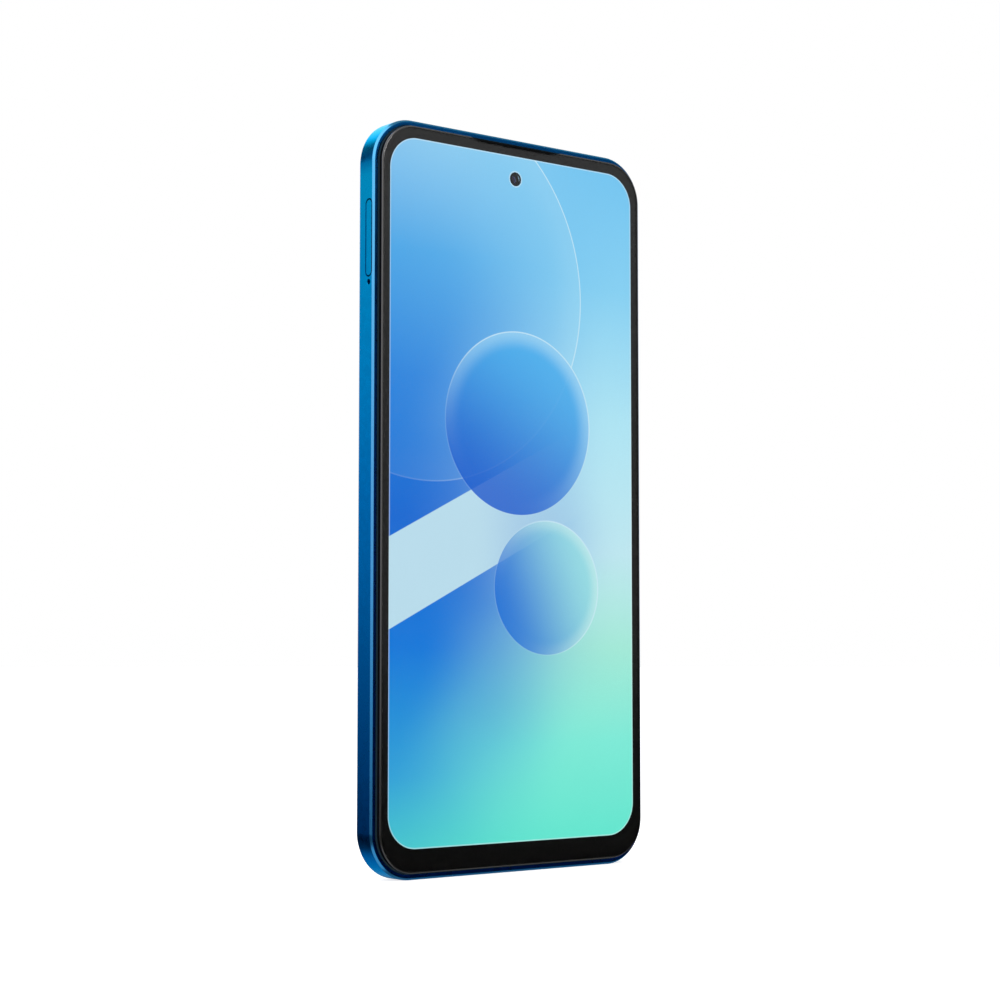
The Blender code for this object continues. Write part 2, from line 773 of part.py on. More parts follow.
def make_main_board(material):
    half = BODY_WIDTH / 2 - 2.5 * MM
    outline = box_outline(-half, half, MAIN_BOARD_LOW, BODY_HEIGHT - 2.5 * MM, 7.7 * MM, 1.0 * MM)
    board = slab("main_board", outline, BOARD_FRONT, BOARD_BACK, "y", material)
    through = (BOARD_FRONT - PAST, BOARD_BACK + PAST)
    cutters = [
        camera_cutter("board_main_window", MAIN_LENS_Z, 5.1 * MM, *through),
        camera_cutter("board_second_window", SECOND_LENS_Z, 3.6 * MM, *through),
        box("board_key_notch", (33.9 * MM, 40.0 * MM), through, (110.0 * MM, 141.0 * MM)),
        box("board_front_camera_notch", (-3.6 * MM, 3.6 * MM), through, (150.2 * MM, 165.0 * MM)),
        *screw_cutters("board_hole", SCREWS[: len(UPPER_SCREWS)], 0.9 * MM, *through),
    ]
    led_y = (BOARD_BACK - 0.2 * MM, 1.6 * MM)
    led = box("flash_led", (FLASH_X - MM, FLASH_X + MM), led_y, (FLASH_Z - MM, FLASH_Z + MM))
    return cut(add(board, led), *cutters)


def make_main_camera(material):
    half = 4.75 * MM
    housing = box(
        "main_camera",
        (LENS_X - half, LENS_X + half),
        (-1.5 * MM, 3.0 * MM),
        (MAIN_LENS_Z - half, MAIN_LENS_Z + half),
        material,
        0.5 * MM,
    )
    bore_profile = [(3.4 * MM, -0.6 * MM), (3.4 * MM, 4.0 * MM)]
    bore = turned("main_camera_bore", LENS_X, MAIN_LENS_Z, bore_profile, "y")
    return cut(housing, bore)


def make_main_camera_lens(material):
    """The lens barrel that moves in the main camera to focus."""
    barrel = turned(
        "main_camera_lens",
        LENS_X,
        MAIN_LENS_Z,
        [(3.2 * MM, 0.0), (3.2 * MM, 3.3 * MM), (2.9 * MM, 3.6 * MM)],
        "y",
        material,
        pivot=(LENS_X, 0.0, MAIN_LENS_Z),
    )
    eye_profile = [(1.2 * MM, 2.9 * MM), (2.2 * MM, 3.8 * MM)]
    eye = turned("main_lens_eye", LENS_X, MAIN_LENS_Z, eye_profile, "y")
    return cut(barrel, eye)


def make_second_camera(material):
    half = 3.25 * MM
    housing = box(
        "second_camera",
        (LENS_X - half, LENS_X + half),
        (-1.0 * MM, 2.6 * MM),
        (SECOND_LENS_Z - half, SECOND_LENS_Z + half),
        material,
        0.4 * MM,
    )
    barrel_profile = [(2.3 * MM, 2.2 * MM), (2.3 * MM, 3.5 * MM), (2.0 * MM, 3.7 * MM)]
    eye_profile = [(0.7 * MM, 3.1 * MM), (1.5 * MM, 3.9 * MM)]
    barrel = turned("second_barrel", LENS_X, SECOND_LENS_Z, barrel_profile, "y")
    eye = turned("second_eye", LENS_X, SECOND_LENS_Z, eye_profile, "y")
    return cut(add(housing, barrel), eye)


def make_bracket(name, outline, screws, openings, material):
    """A plastic cover plate over the boards, with a sunk seat for each screw head."""
    plate = slab(name, outline, BRACKET_FRONT, BRACKET_BACK, "y", material)
    through = (BRACKET_FRONT - PAST, BRACKET_BACK + PAST)
    holes = screw_cutters(f"{name}_hole", screws, 0.85 * MM, *through)
    seat_y = SCREW_HEAD_SEAT - SLIT
    seats = screw_cutters(f"{name}_seat", screws, SCREW_HEAD_RADIUS + FIT, seat_y, BRACKET_BACK + PAST)
    return cut(plate, *holes, *seats, *openings)


def make_upper_bracket(material):
    half = BODY_WIDTH / 2 - 2.9 * MM
    outline = box_outline(-half, half, MAIN_BOARD_LOW + FIT, BODY_HEIGHT - 2.9 * MM, 7.3 * MM, 1.0 * MM)
    through = (BRACKET_FRONT - PAST, BRACKET_BACK + PAST)
    flash = circle(FLASH_X, FLASH_Z, FLASH_RADIUS + 0.3 * MM)
    openings = [
        camera_cutter("bracket_main_window", MAIN_LENS_Z, 5.1 * MM, *through),
        camera_cutter("bracket_second_window", SECOND_LENS_Z, 3.6 * MM, *through),
        slab("bracket_flash_hole", flash, *through, "y"),
    ]
    return make_bracket("upper_bracket", outline, SCREWS[: len(UPPER_SCREWS)], openings, material)


def make_lower_bracket(material):
    half = BODY_WIDTH / 2 - 2.9 * MM
    outline = box_outline(-half, half, 2.9 * MM, SUB_BOARD_TOP + 0.3 * MM, 1.0 * MM, 7.3 * MM)
    return make_bracket("lower_bracket", outline, SCREWS[len(UPPER_SCREWS) :], [], material)


def make_screw(number, x, z, material):
    """A flat-head screw with a slot across its head."""
    seat = SCREW_HEAD_SEAT
    profile = [
        (SCREW_SHANK_RADIUS, -1.3 * MM),
        (SCREW_SHANK_RADIUS, seat),
        (SCREW_HEAD_RADIUS, seat),
        (SCREW_HEAD_RADIUS, seat + 0.4 * MM),
        (SCREW_HEAD_RADIUS - 0.15 * MM, seat + 0.5 * MM),
    ]
    screw = turned(f"screw_{number}", x, z, profile, "y", material, segments=12)
    slot = box(
        f"screw_slot_{number}",
        (x - 0.8 * MM, x + 0.8 * MM),
        (seat + 0.25 * MM, seat + PAST),
        (z - 0.15 * MM, z + 0.15 * MM),
    )
    return cut(screw, slot)


def make_battery(material):
    half = BATTERY_HALF_WIDTH
    outline = box_outline(-half, half, BATTERY_LOW, BATTERY_TOP, 1.2 * MM, steps=3)
    pack = slab("battery", outline, PLATE_BACK + 0.25 * MM, 2.9 * MM, "y", material)
    return soften(pack, 0.7 * MM, 2)


def make_battery_adhesive(material):
    y = (PLATE_BACK + SLIT, PLATE_BACK + 0.2 * MM)
    return box("battery_adhesive", (-26.0 * MM, 26.0 * MM), y, (34.0 * MM, 110.0 * MM), material, 2.0 * MM)


def make_battery_flex(material):
    path = [(1.9 * MM, 118.9 * MM), (1.9 * MM, 119.8 * MM), (1.15 * MM, 120.7 * MM), (1.15 * MM, 126.0 * MM)]
    return ribbon("battery_flex", (-26.0 * MM, -17.0 * MM), path, 0.15 * MM, material)


def make_main_flex(material):
    path = [
        (1.15 * MM, 17.5 * MM),
        (1.15 * MM, 24.0 * MM),
        (1.5 * MM, 25.2 * MM),
        (2.7 * MM, 26.0 * MM),
        (3.06 * MM, 27.2 * MM),
        (3.06 * MM, 118.2 * MM),
        (2.7 * MM, 119.3 * MM),
        (1.5 * MM, 120.2 * MM),
        (1.15 * MM, 121.4 * MM),
        (1.15 * MM, 127.5 * MM),
    ]
    return ribbon("main_flex", (-13.0 * MM, -1.0 * MM), path, 0.12 * MM, material)


def make_coax_cable(material):
    """The aerial cable up the left edge, a tube along a smooth curve through its own points."""
    route = [
        (-26.4, 1.35, 19.3),
        (-30.0, 1.35, 19.3),
        (-33.4, 1.1, 19.4),
        (-35.1, 0.75, 21.2),
        (-35.3, 0.6, 26.0),
        (-35.3, 0.6, 70.0),
        (-35.3, 0.6, 114.0),
        (-35.1, 0.9, 118.6),
        (-34.5, 1.35, 121.0),
        (-34.2, 1.35, 123.6),
    ]
    stops = [Vector(p) * MM for p in route]
    points = [stops[0]]
    for k in range(len(stops) - 1):
        start, end = stops[k], stops[k + 1]
        reach = (end - start).length / 3
        before = (end - stops[max(k - 1, 0)]).normalized() * reach
        after = (stops[min(k + 2, len(stops) - 1)] - start).normalized() * reach
        points += interpolate_bezier(start, start + before, end - after, end, 5)[1:]
    curve = bpy.data.curves.new("coax_cable", "CURVE")
    curve.dimensions = "3D"
    curve.bevel_depth = 0.4 * MM
    curve.bevel_resolution = 1
    curve.use_fill_caps = True
    spline = curve.splines.new("POLY")
    spline.points.add(len(points) - 1)
    for point, place in zip(spline.points, points):
        point.co = (*place, 1.0)
    curve.materials.append(material)
    cable = bpy.data.objects.new("coax_cable", curve)
    bpy.context.scene.collection.objects.link(cable)
    return cable


def make_sub_board(material):
    outline = box_outline(-27.2 * MM, 8.0 * MM, 3.5 * MM, SUB_BOARD_TOP, 0.8 * MM, steps=3)
    board = slab("sub_board", outline, BOARD_FRONT, BOARD_BACK, "y", material)
    through = (BOARD_FRONT - PAST, BOARD_BACK + PAST)
    cutters = [
        box("sub_board_usb_notch", (-4.8 * MM, 4.8 * MM), through, (0.0, 8.0 * MM)),
        box("sub_board_jack_notch", (JACK_X - 3.2 * MM, JACK_X + 3.2 * MM), through, (0.0, 15.3 * MM)),
        *screw_cutters("sub_board_hole", [SCREWS[len(UPPER_SCREWS) + 1]], 0.9 * MM, *through),
    ]
    half = 1.3 * MM
    microphone = box(
        "microphone",
        (MICROPHONE_X - half, MICROPHONE_X + half),
        (BOARD_BACK - 0.2 * MM, 1.8 * MM),
        (3.9 * MM, 7.4 * MM),
    )
    return cut(add(board, microphone), *cutters)


def make_usb_shell(material):
    wall = 0.3 * MM
    outer = slot_outline(0, 0, USB_WIDTH, USB_HEIGHT)
    inner = slot_outline(0, 0, USB_WIDTH - 2 * wall, USB_HEIGHT - 2 * wall)
    z0, z1 = 0.3 * MM, 7.6 * MM
    loops = [
        placed(outer, z0, "z"),
        placed(outer, z1, "z"),
        placed(inner, z1, "z"),
        placed(inner, z0, "z"),
    ]
    return loft("usb_shell", loops, material, ring=True)


def make_usb_tongue(material):
    base_outline = slot_outline(0, 0, 8.2 * MM, 2.4 * MM)
    base = slab("usb_tongue", base_outline, 6.0 * MM, 7.5 * MM, "z", material)
    blade_outline = box_outline(-3.3 * MM, 3.3 * MM, -0.35 * MM, 0.35 * MM)
    blade = slab("usb_tongue_blade", blade_outline, 1.0 * MM, 6.5 * MM, "z")
    return add(base, blade)


def make_headphone_jack(material):
    half_width, half_height = 2.9 * MM, 2.1 * MM
    body = slab(
        "headphone_jack",
        box_outline(JACK_X - half_width, JACK_X + half_width, -half_height, half_height, 0.5 * MM, steps=2),
        FRAME_WALL + FIT,
        15.0 * MM,
        "z",
        material,
    )
    bore = turned("jack_bore", JACK_X, 0, [(JACK_BORE, 0.0), (JACK_BORE, 14.0 * MM)], "z")
    return cut(body, bore)


def make_loudspeaker(material):
    outline = box_outline(9.5 * MM, 32.2 * MM, 3.2 * MM, SUB_BOARD_TOP, 1.0 * MM, 3.5 * MM, steps=4)
    speaker = slab("loudspeaker", outline, PLATE_BACK + 0.15 * MM, BRACKET_FRONT - FIT, "y", material)
    inner, outer, bottom, top = 6.2 * MM, 7.0 * MM, 1.9 * MM, 3.0 * MM
    groove_profile = [(outer, bottom), (outer, top), (inner, top), (inner, bottom)]
    groove = turned(
        "speaker_groove", SPEAKER_X + MM, 14.0 * MM, groove_profile, "y", segments=20, ring=True
    )
    return cut(soften(speaker, 0.3 * MM), groove)


def make_speaker_mesh(material):
    half = SPEAKER_PITCH * SPEAKER_SLOTS / 2
    outline = box_outline(SPEAKER_X - half, SPEAKER_X + half, -1.3 * MM, 1.3 * MM, 0.5 * MM, steps=2)
    z0 = FRAME_WALL + FIT
    return slab("speaker_mesh", outline, z0, z0 + 0.2 * MM, "z", material)


def make_vibration_motor(material):
    """The motor's can, with a bore for the shaft in its upper end."""
    profile = [
        (MOTOR_RADIUS - 0.2 * MM, 6.0 * MM),
        (MOTOR_RADIUS, 6.2 * MM),
        (MOTOR_RADIUS, 13.8 * MM),
        (MOTOR_RADIUS - 0.2 * MM, 14.0 * MM),
        (0.43 * MM, 14.0 * MM),
        (0.43 * MM, 12.4 * MM),
    ]
    return turned("vibration_motor", MOTOR_X, MOTOR_Y, profile, "z", material, 20)


def make_vibration_weight(material):
    """The half-moon weight and the shaft that it spins on."""
    shaft_profile = [(0.35 * MM, 12.6 * MM), (0.35 * MM, 18.2 * MM)]
    shaft = turned(
        "vibration_weight",
        MOTOR_X,
        MOTOR_Y,
        shaft_profile,
        "z",
        material,
        16,
        pivot=(MOTOR_X, MOTOR_Y, 16.3 * MM),
    )
    hub = 0.6 * MM
    half_moon = [point for point in circle(MOTOR_X, MOTOR_Y, 1.7 * MM) if point[1] > MOTOR_Y - SLIT]
    half_moon += [(MOTOR_X - hub, MOTOR_Y - hub), (MOTOR_X + hub, MOTOR_Y - hub)]
    return add(shaft, slab("half_moon", half_moon, 14.5 * MM, 18.0 * MM, "z"))


def make_inside(m):
    rear_shield_y = (BOARD_BACK + SLIT, BRACKET_FRONT - FIT)
    front_shield_y = (BOARD_FRONT - SLIT, PLATE_BACK + FIT)
    rear_shield_x, rear_shield_z = (-33.0 * MM, -14.5 * MM), (128.5 * MM, 152.5 * MM)
    front_shield_x, front_shield_z = (8.0 * MM, 17.0 * MM), (128.0 * MM, 153.0 * MM)
    processor_x, processor_z = (-31.0 * MM, -18.0 * MM), (133.0 * MM, 146.0 * MM)
    sheet = 0.15 * MM
    parts = [
        make_main_board(m["board"]),
        tub("rear_shield", rear_shield_x, rear_shield_y, rear_shield_z, sheet, m["steel"]),
        tub("front_shield", front_shield_x, front_shield_y, front_shield_z, sheet, m["steel"]),
        box("processor", processor_x, (BOARD_BACK + SLIT, 1.8 * MM), processor_z, m["lens_black"]),
        make_main_camera(m["lens_black"]),
        make_main_camera_lens(m["lens_black"]),
        make_second_camera(m["lens_black"]),
        make_upper_bracket(m["black_plastic"]),
        make_lower_bracket(m["black_plastic"]),
        make_battery(m["battery"]),
        make_battery_adhesive(m["white_tape"]),
        make_battery_flex(m["flex"]),
        make_main_flex(m["flex"]),
        make_coax_cable(m["black_plastic"]),
        make_sub_board(m["board"]),
        make_usb_shell(m["steel"]),
        make_usb_tongue(m["black_plastic"]),
        make_headphone_jack(m["black_plastic"]),
        make_loudspeaker(m["black_plastic"]),
        make_speaker_mesh(m["mesh"]),
        make_vibration_motor(m["steel"]),
        make_vibration_weight(m["steel"]),
    ]
    screws = [make_screw(k + 1, x, z, m["steel"]) for k, (x, z) in enumerate(SCREWS)]
    return parts + screws


# ---- Back: cover and camera island -----------------------------------------------------------
def island_outline(inset):
    x0, x1, z0, z1 = ISLAND
    corner = ISLAND_CORNER - inset
    return box_outline(x0 + inset, x1 - inset, z0 + inset, z1 - inset, corner, steps=6)


def make_rear_cover(material):
    """A shallow dish with round edges and a lip that snaps inside the frame."""
    edge_inset, edge_y = 0.45 * MM, SEAM_Y + FIT
    curve_width, curve_height = 2.15 * MM, BACK_Y - edge_y
    lip_front = 1.8 * MM
    lip_inner = COVER_LIP_INSET + COVER_LIP_WALL
    profile = [
        (lip_inner, COVER_INSIDE),
        (lip_inner, lip_front),
        (COVER_LIP_INSET, lip_front),
        (COVER_LIP_INSET, edge_y),
    ]
    steps = 5
    for k in range(steps + 1):
        angle = math.radians(90 * k / steps)
        inset = edge_inset + curve_width * (1 - math.cos(angle))
        profile.append((inset, edge_y + curve_height * math.sin(angle)))
    loops = [placed(body_outline(inset), y, "y") for inset, y in profile]
    cover = loft("rear_cover", loops, material)
    through = (COVER_INSIDE - PAST, BACK_Y + PAST)
    seat = slab("island_seat", island_outline(-FIT), BACK_Y - ISLAND_RECESS, BACK_Y + PAST, "y")
    jack_x = (JACK_X - 3.2 * MM, JACK_X + 3.2 * MM)
    windows = [
        seat,
        slab("cover_main_window", circle(LENS_X, MAIN_LENS_Z, 4.4 * MM), *through, "y"),
        slab("cover_second_window", circle(LENS_X, SECOND_LENS_Z, 4.4 * MM), *through, "y"),
        slab("cover_flash_window", circle(FLASH_X, FLASH_Z, FLASH_RADIUS + FIT), *through, "y"),
        box("lip_jack_notch", jack_x, (lip_front - PAST, 2.3 * MM), (PAST, 3.5 * MM)),
    ]
    return cut(cover, *windows)


def make_camera_island(material):
    """The plate round the rear cameras, seated in a shallow recess of the cover."""
    edge = 0.35 * MM
    loops = [
        placed(island_outline(0), ISLAND_BASE, "y"),
        placed(island_outline(0), ISLAND_BACK - edge, "y"),
        placed(island_outline(0.3 * edge), ISLAND_BACK - 0.3 * edge, "y"),
        placed(island_outline(edge), ISLAND_BACK, "y"),
    ]
    island = loft("camera_island", loops, material)
    through = (ISLAND_BASE - PAST, ISLAND_BACK + PAST)
    ring = LENS_RING_RADIUS + FIT
    windows = [
        slab("island_main_window", circle(LENS_X, MAIN_LENS_Z, ring, 28), *through, "y"),
        slab("island_second_window", circle(LENS_X, SECOND_LENS_Z, ring, 28), *through, "y"),
        slab("island_flash_window", circle(FLASH_X, FLASH_Z, FLASH_RADIUS + FIT), *through, "y"),
    ]
    return cut(island, *windows)


def make_lens_ring(name, z, material):
    """A turned metal ring with a ledge inside for its glass."""
    base = ISLAND_BASE
    top = ISLAND_BACK + 0.25 * MM
    outer, seat, inner = LENS_RING_RADIUS, LENS_GLASS_RADIUS + FIT, LENS_GLASS_RADIUS - 0.6 * MM
    profile = [
        (outer, base),
        (outer, top - 0.2 * MM),
        (outer - 0.2 * MM, top),
        (seat + 0.2 * MM, top),
        (seat, top - 0.2 * MM),
        (seat, LENS_LEDGE),
        (inner, LENS_LEDGE),
        (inner, base),
    ]
    return turned(name, LENS_X, z, profile, "y", material, 28, ring=True)


def make_lens_glass(name, z, material):
    front = LENS_LEDGE + SLIT
    back = ISLAND_BACK + 0.05 * MM
    radius = LENS_GLASS_RADIUS
    return turned(name, LENS_X, z, [(radius, front), (radius, back)], "y", material, 28)


def make_flash_lens(material):
    tip = ISLAND_BACK + 0.1 * MM
    profile = [
        (FLASH_RADIUS, 3.4 * MM),
        (FLASH_RADIUS, tip - 0.2 * MM),
        (FLASH_RADIUS - 0.3 * MM, tip),
    ]
    return turned("flash_lens", FLASH_X, FLASH_Z, profile, "y", material)


def make_back(m):
    return [
        make_rear_cover(m["blue_cover"]),
        make_camera_island(m["blue_cover"]),
        make_lens_ring("main_lens_ring", MAIN_LENS_Z, m["blue_metal"]),
        make_lens_ring("second_lens_ring", SECOND_LENS_Z, m["blue_metal"]),
        make_lens_glass("main_lens_glass", MAIN_LENS_Z, m["lens_glass"]),
        make_lens_glass("second_lens_glass", SECOND_LENS_Z, m["lens_glass"]),
        make_flash_lens(m["diffuser"]),
    ]


def make_materials():
    return {
        "glass": make_material("cover_glass", (0.02, 0.02, 0.022), 0.05, alpha=0.35),
        "screen": make_material("screen", (0.15, 0.5, 0.85), 0.2),
        "blue_metal": make_material("blue_metal", (0.0, 0.16, 0.42), 0.3, 0.8),
        "blue_cover": make_material("blue_cover", (0.01, 0.18, 0.45), 0.25, 0.3),
        "black_plastic": make_material("black_plastic", (0.012, 0.012, 0.013), 0.45),
        "lens_black": make_material("lens_black", (0.01, 0.01, 0.012), 0.2),
        "lens_glass": make_material("lens_glass", (0.02, 0.02, 0.03), 0.03, alpha=0.35),
        "mesh": make_material("mesh", (0.02, 0.02, 0.02), 0.6, 0.5),
        "steel": make_material("steel", (0.55, 0.55, 0.56), 0.3, 1.0),
        "flex": make_material("flex", (0.35, 0.12, 0.02), 0.4),
        "rubber": make_material("rubber", (0.4, 0.05, 0.04), 0.7),
        "board": make_material("board", (0.01, 0.08, 0.05), 0.4),
        "battery": make_material("battery", (0.03, 0.03, 0.035), 0.5),
        "white_tape": make_material("white_tape", (0.8, 0.8, 0.78), 0.6),
        "diffuser": make_material("diffuser", (0.85, 0.82, 0.7), 0.3),
    }


def main():
    clear_scene()
    m = make_materials()
    group("front_assembly", make_front(m))
    group("frame_assembly", [make_side_frame(m["blue_metal"]), make_midframe_plate(m["steel"])])
    group("left_side", make_left_side(m))
    group("right_side", make_right_side(m))
    group("inside", make_inside(m))
    group("back_assembly", make_back(m))


main()
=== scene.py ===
import math

import bmesh
import bpy
from mathutils import Matrix, Vector


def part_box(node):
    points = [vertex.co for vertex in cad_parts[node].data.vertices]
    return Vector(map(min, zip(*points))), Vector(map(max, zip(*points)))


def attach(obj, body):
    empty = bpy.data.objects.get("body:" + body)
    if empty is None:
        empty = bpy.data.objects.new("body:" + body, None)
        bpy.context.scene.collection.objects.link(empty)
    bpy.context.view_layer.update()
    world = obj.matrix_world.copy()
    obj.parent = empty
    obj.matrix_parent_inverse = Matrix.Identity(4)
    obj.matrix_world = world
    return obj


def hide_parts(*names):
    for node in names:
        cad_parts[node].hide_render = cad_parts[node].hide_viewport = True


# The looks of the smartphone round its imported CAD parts. Sizes are in millimetres until a mesh is
# made. +Z runs up the phone, +X is the right-hand side seen from the screen, the screen faces -Y.

MM = 0.001
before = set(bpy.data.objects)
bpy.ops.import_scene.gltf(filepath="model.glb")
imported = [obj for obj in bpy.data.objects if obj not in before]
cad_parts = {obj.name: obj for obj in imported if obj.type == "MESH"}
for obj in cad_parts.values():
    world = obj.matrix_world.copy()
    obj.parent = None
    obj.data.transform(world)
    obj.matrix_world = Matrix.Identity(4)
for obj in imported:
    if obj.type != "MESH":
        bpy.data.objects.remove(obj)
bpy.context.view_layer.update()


def node_box(name):
    """The lowest and highest corner of a CAD node, in millimetres."""
    low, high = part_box(name)
    return low / MM, high / MM


def middle(low, high):
    return (low + high) / 2


# ---- Sizes read from the frame, and the few that its boxes don't hold --------------------------
FRAME_LOW, FRAME_HIGH = node_box("side_frame")
HALF_WIDTH = FRAME_HIGH.x
HEIGHT = FRAME_HIGH.z
CORNER = 10.2
RIM_Y = FRAME_LOW.y
SEAM_Y = FRAME_HIGH.y
RIM_CHAMFER = 0.45
REAR_CHAMFER = 0.3
FRAME_WALL = 1.2

GLASS_LOW, GLASS_HIGH = node_box("cover_glass")
FRONT_Y = GLASS_LOW.y
GLASS_BACK = GLASS_HIGH.y
GLASS_INSET = HALF_WIDTH - GLASS_HIGH.x
EARPIECE_LOW, EARPIECE_HIGH = node_box("earpiece_mesh")
SLIT_TIP = 1.2
SLIT_HALF_WIDTH = EARPIECE_HIGH.x + SLIT_TIP
SLIT_DEPTH = 0.85

PANEL_LOW, PANEL_HIGH = node_box("display_panel")
SCREEN_HALF_WIDTH = 34.4
SCREEN_LOW = 6.6
SCREEN_TOP = 159.2
SCREEN_CORNER = 7.25

CAMERA_LOW, CAMERA_HIGH = node_box("front_camera")
CAMERA_Z = middle(CAMERA_LOW.z, CAMERA_HIGH.z)
PUNCH_RADIUS = 1.57

TRAY_LOW, TRAY_HIGH = node_box("sim_tray")
TRAY_Y = TRAY_LOW.y + 0.975
TRAY_Z = middle(TRAY_LOW.z, TRAY_HIGH.z)
TRAY_HEIGHT = 2 * (TRAY_Y - TRAY_LOW.y)
TRAY_LENGTH = TRAY_HIGH.z - TRAY_LOW.z
EJECT_HOLE = 1.1
EJECT_LOW, EJECT_HIGH = node_box("eject_rod")
EJECT_Z = middle(EJECT_LOW.z, EJECT_HIGH.z)

POWER_LOW, POWER_HIGH = node_box("power_button")
VOLUME_LOW, VOLUME_HIGH = node_box("volume_rocker")
KEY_Y = middle(POWER_LOW.y, POWER_HIGH.y)
KEY_HEIGHT = 2.3
FLANGE_OVERHANG = 0.7

ISLAND_LOW, ISLAND_HIGH = node_box("camera_island")
ISLAND_CORNER = 7.0
MAIN_RING_LOW, MAIN_RING_HIGH = node_box("main_lens_ring")
SECOND_RING_LOW, SECOND_RING_HIGH = node_box("second_lens_ring")
LENS_X = middle(MAIN_RING_LOW.x, MAIN_RING_HIGH.x)
MAIN_LENS_Z = middle(MAIN_RING_LOW.z, MAIN_RING_HIGH.z)
SECOND_LENS_Z = middle(SECOND_RING_LOW.z, SECOND_RING_HIGH.z)
RING_RADIUS = (MAIN_RING_HIGH.x - MAIN_RING_LOW.x) / 2
LENS_WINDOW = 4.4  # radius of the cover's holes under the lens rings
FLASH_LOW, FLASH_HIGH = node_box("flash_lens")
FLASH_X = middle(FLASH_LOW.x, FLASH_HIGH.x)
FLASH_Z = middle(FLASH_LOW.z, FLASH_HIGH.z)
FLASH_RADIUS = (FLASH_HIGH.x - FLASH_LOW.x) / 2
COVER_LOW, COVER_HIGH = node_box("rear_cover")
BACK_Y = COVER_HIGH.y

USB_LOW, USB_HIGH = node_box("usb_shell")
USB_MOUTH = (9.2, 3.4)
JACK_LOW, JACK_HIGH = node_box("headphone_jack")
JACK_X = middle(JACK_LOW.x, JACK_HIGH.x)
JACK_MOUTH = 3.6
MICROPHONE_X = -12.0
MICROPHONE_HOLE = 1.0
GRILLE_LOW, GRILLE_HIGH = node_box("speaker_mesh")
GRILLE_SLOTS = 6
GRILLE_SLOT = (1.3, 2.2)

FIT = 0.1  # the gap between neighbours
SEEN_GAP = 0.2  # the wider gap round the tray's head, which the photo shows
PAST = 0.5  # how far a cutter reaches beyond what it cuts
CUT_CHAMFER = 0.07


# ---- Outlines --------------------------------------------------------------------------------
def rounded(a0, a1, b0, b1, upper, lower=None, steps=10):
    """A rectangle as (a, b) points. Its upper corners have one radius and its lower ones another."""
    lower = upper if lower is None else lower
    corners = (
        (a1, b1, -1, -1, upper, 0), (a0, b1, 1, -1, upper, 90), (a0, b0, 1, 1, lower, 180),
        (a1, b0, -1, 1, lower, 270),
    )
    points = []
    for a, b, inward_a, inward_b, radius, start in corners:
        for step in range(steps + 1):
            angle = math.radians(start + 90 * step / steps)
            corner_a = a + inward_a * radius + radius * math.cos(angle)
            corner_b = b + inward_b * radius + radius * math.sin(angle)
            points.append((corner_a, corner_b))
    return points


def body_outline(inset):
    half = HALF_WIDTH - inset
    return rounded(-half, half, inset, HEIGHT - inset, CORNER - inset, steps=24)


def slot(a, b, length_a, length_b, steps=10):
    """A slot with round ends, centred on (a, b). Its corners stop just short of meeting."""
    radius = min(length_a, length_b) / 2 * 0.999
    half_a, half_b = length_a / 2, length_b / 2
    return rounded(a - half_a, a + half_a, b - half_b, b + half_b, radius, steps=steps)


def circle(a, b, radius, segments=64):
    turns = [2 * math.pi * k / segments for k in range(segments)]
    return [(a + radius * math.cos(t), b + radius * math.sin(t)) for t in turns]


# The next three give an outline as a function of how far it is to grow.
def box_at(a0, a1, b0, b1, radius, steps=10):
    return lambda grow: rounded(a0 - grow, a1 + grow, b0 - grow, b1 + grow, radius + grow, steps=steps)


def slot_at(a, b, length_a, length_b, steps=10):
    return lambda grow: slot(a, b, length_a + 2 * grow, length_b + 2 * grow, steps)


def circle_at(a, b, radius, segments=64):
    return lambda grow: circle(a, b, radius + grow, segments)


def placed(points, height, axis):
    """2-D points at a height along an axis: (y, z) on x, (x, z) on y, and (x, y) on z."""
    if axis == "x":
        return [(height, a, b) for a, b in points]
    if axis == "y":
        return [(a, height, b) for a, b in points]
    return [(a, b, height) for a, b in points]


def eased(profile, radius, steps=3, closed=True):
    """A profile with each of its corners turned into a short arc."""
    points = []
    count = len(profile)
    for k, corner in enumerate(profile):
        if not closed and k in (0, count - 1):
            points.append(corner)
            continue
        here = Vector(corner)
        before = Vector(profile[k - 1]) - here
        after = Vector(profile[(k + 1) % count]) - here
        reach = min(radius, before.length * 0.45, after.length * 0.45)
        start = here + before.normalized() * reach
        end = here + after.normalized() * reach
        for step in range(steps + 1):
            t = step / steps
            point = start * (1 - t) ** 2 + here * (2 * t * (1 - t)) + end * t**2
            points.append(tuple(point))
    return points


ISLAND_OUTLINE = box_at(ISLAND_LOW.x, ISLAND_HIGH.x, ISLAND_LOW.z, ISLAND_HIGH.z, ISLAND_CORNER, 14)
REAR_EYES = ((LENS_X, MAIN_LENS_Z), (LENS_X, SECOND_LENS_Z), (FLASH_X, FLASH_Z))


# ---- Solids ----------------------------------------------------------------------------------
def solid(name, bm, material=None):
    """The object of a bmesh in millimetres."""
    bmesh.ops.recalc_face_normals(bm, faces=bm.faces)
    bm.transform(Matrix.Scale(MM, 4))
    mesh = bpy.data.meshes.new(name)
    bm.to_mesh(mesh)
    bm.free()
    if material:
        mesh.materials.append(material)
    obj = bpy.data.objects.new(name, mesh)
    bpy.context.scene.collection.objects.link(obj)
    return obj


def add_loft(bm, loops, ring=False):
    rows = [[bm.verts.new(p) for p in loop] for loop in loops]
    pairs = list(zip(rows, rows[1:] + rows[:1]))
    for lower, upper in pairs if ring else pairs[:-1]:
        for k in range(len(lower)):
            n = (k + 1) % len(lower)
            bm.faces.new((lower[k], lower[n], upper[n], upper[k]))
    if not ring:
        bm.faces.new(rows[0][::-1])
        bm.faces.new(rows[-1])


def loft(name, loops, material=None, ring=False):
    bm = bmesh.new()
    add_loft(bm, loops, ring)
    return solid(name, bm, material)


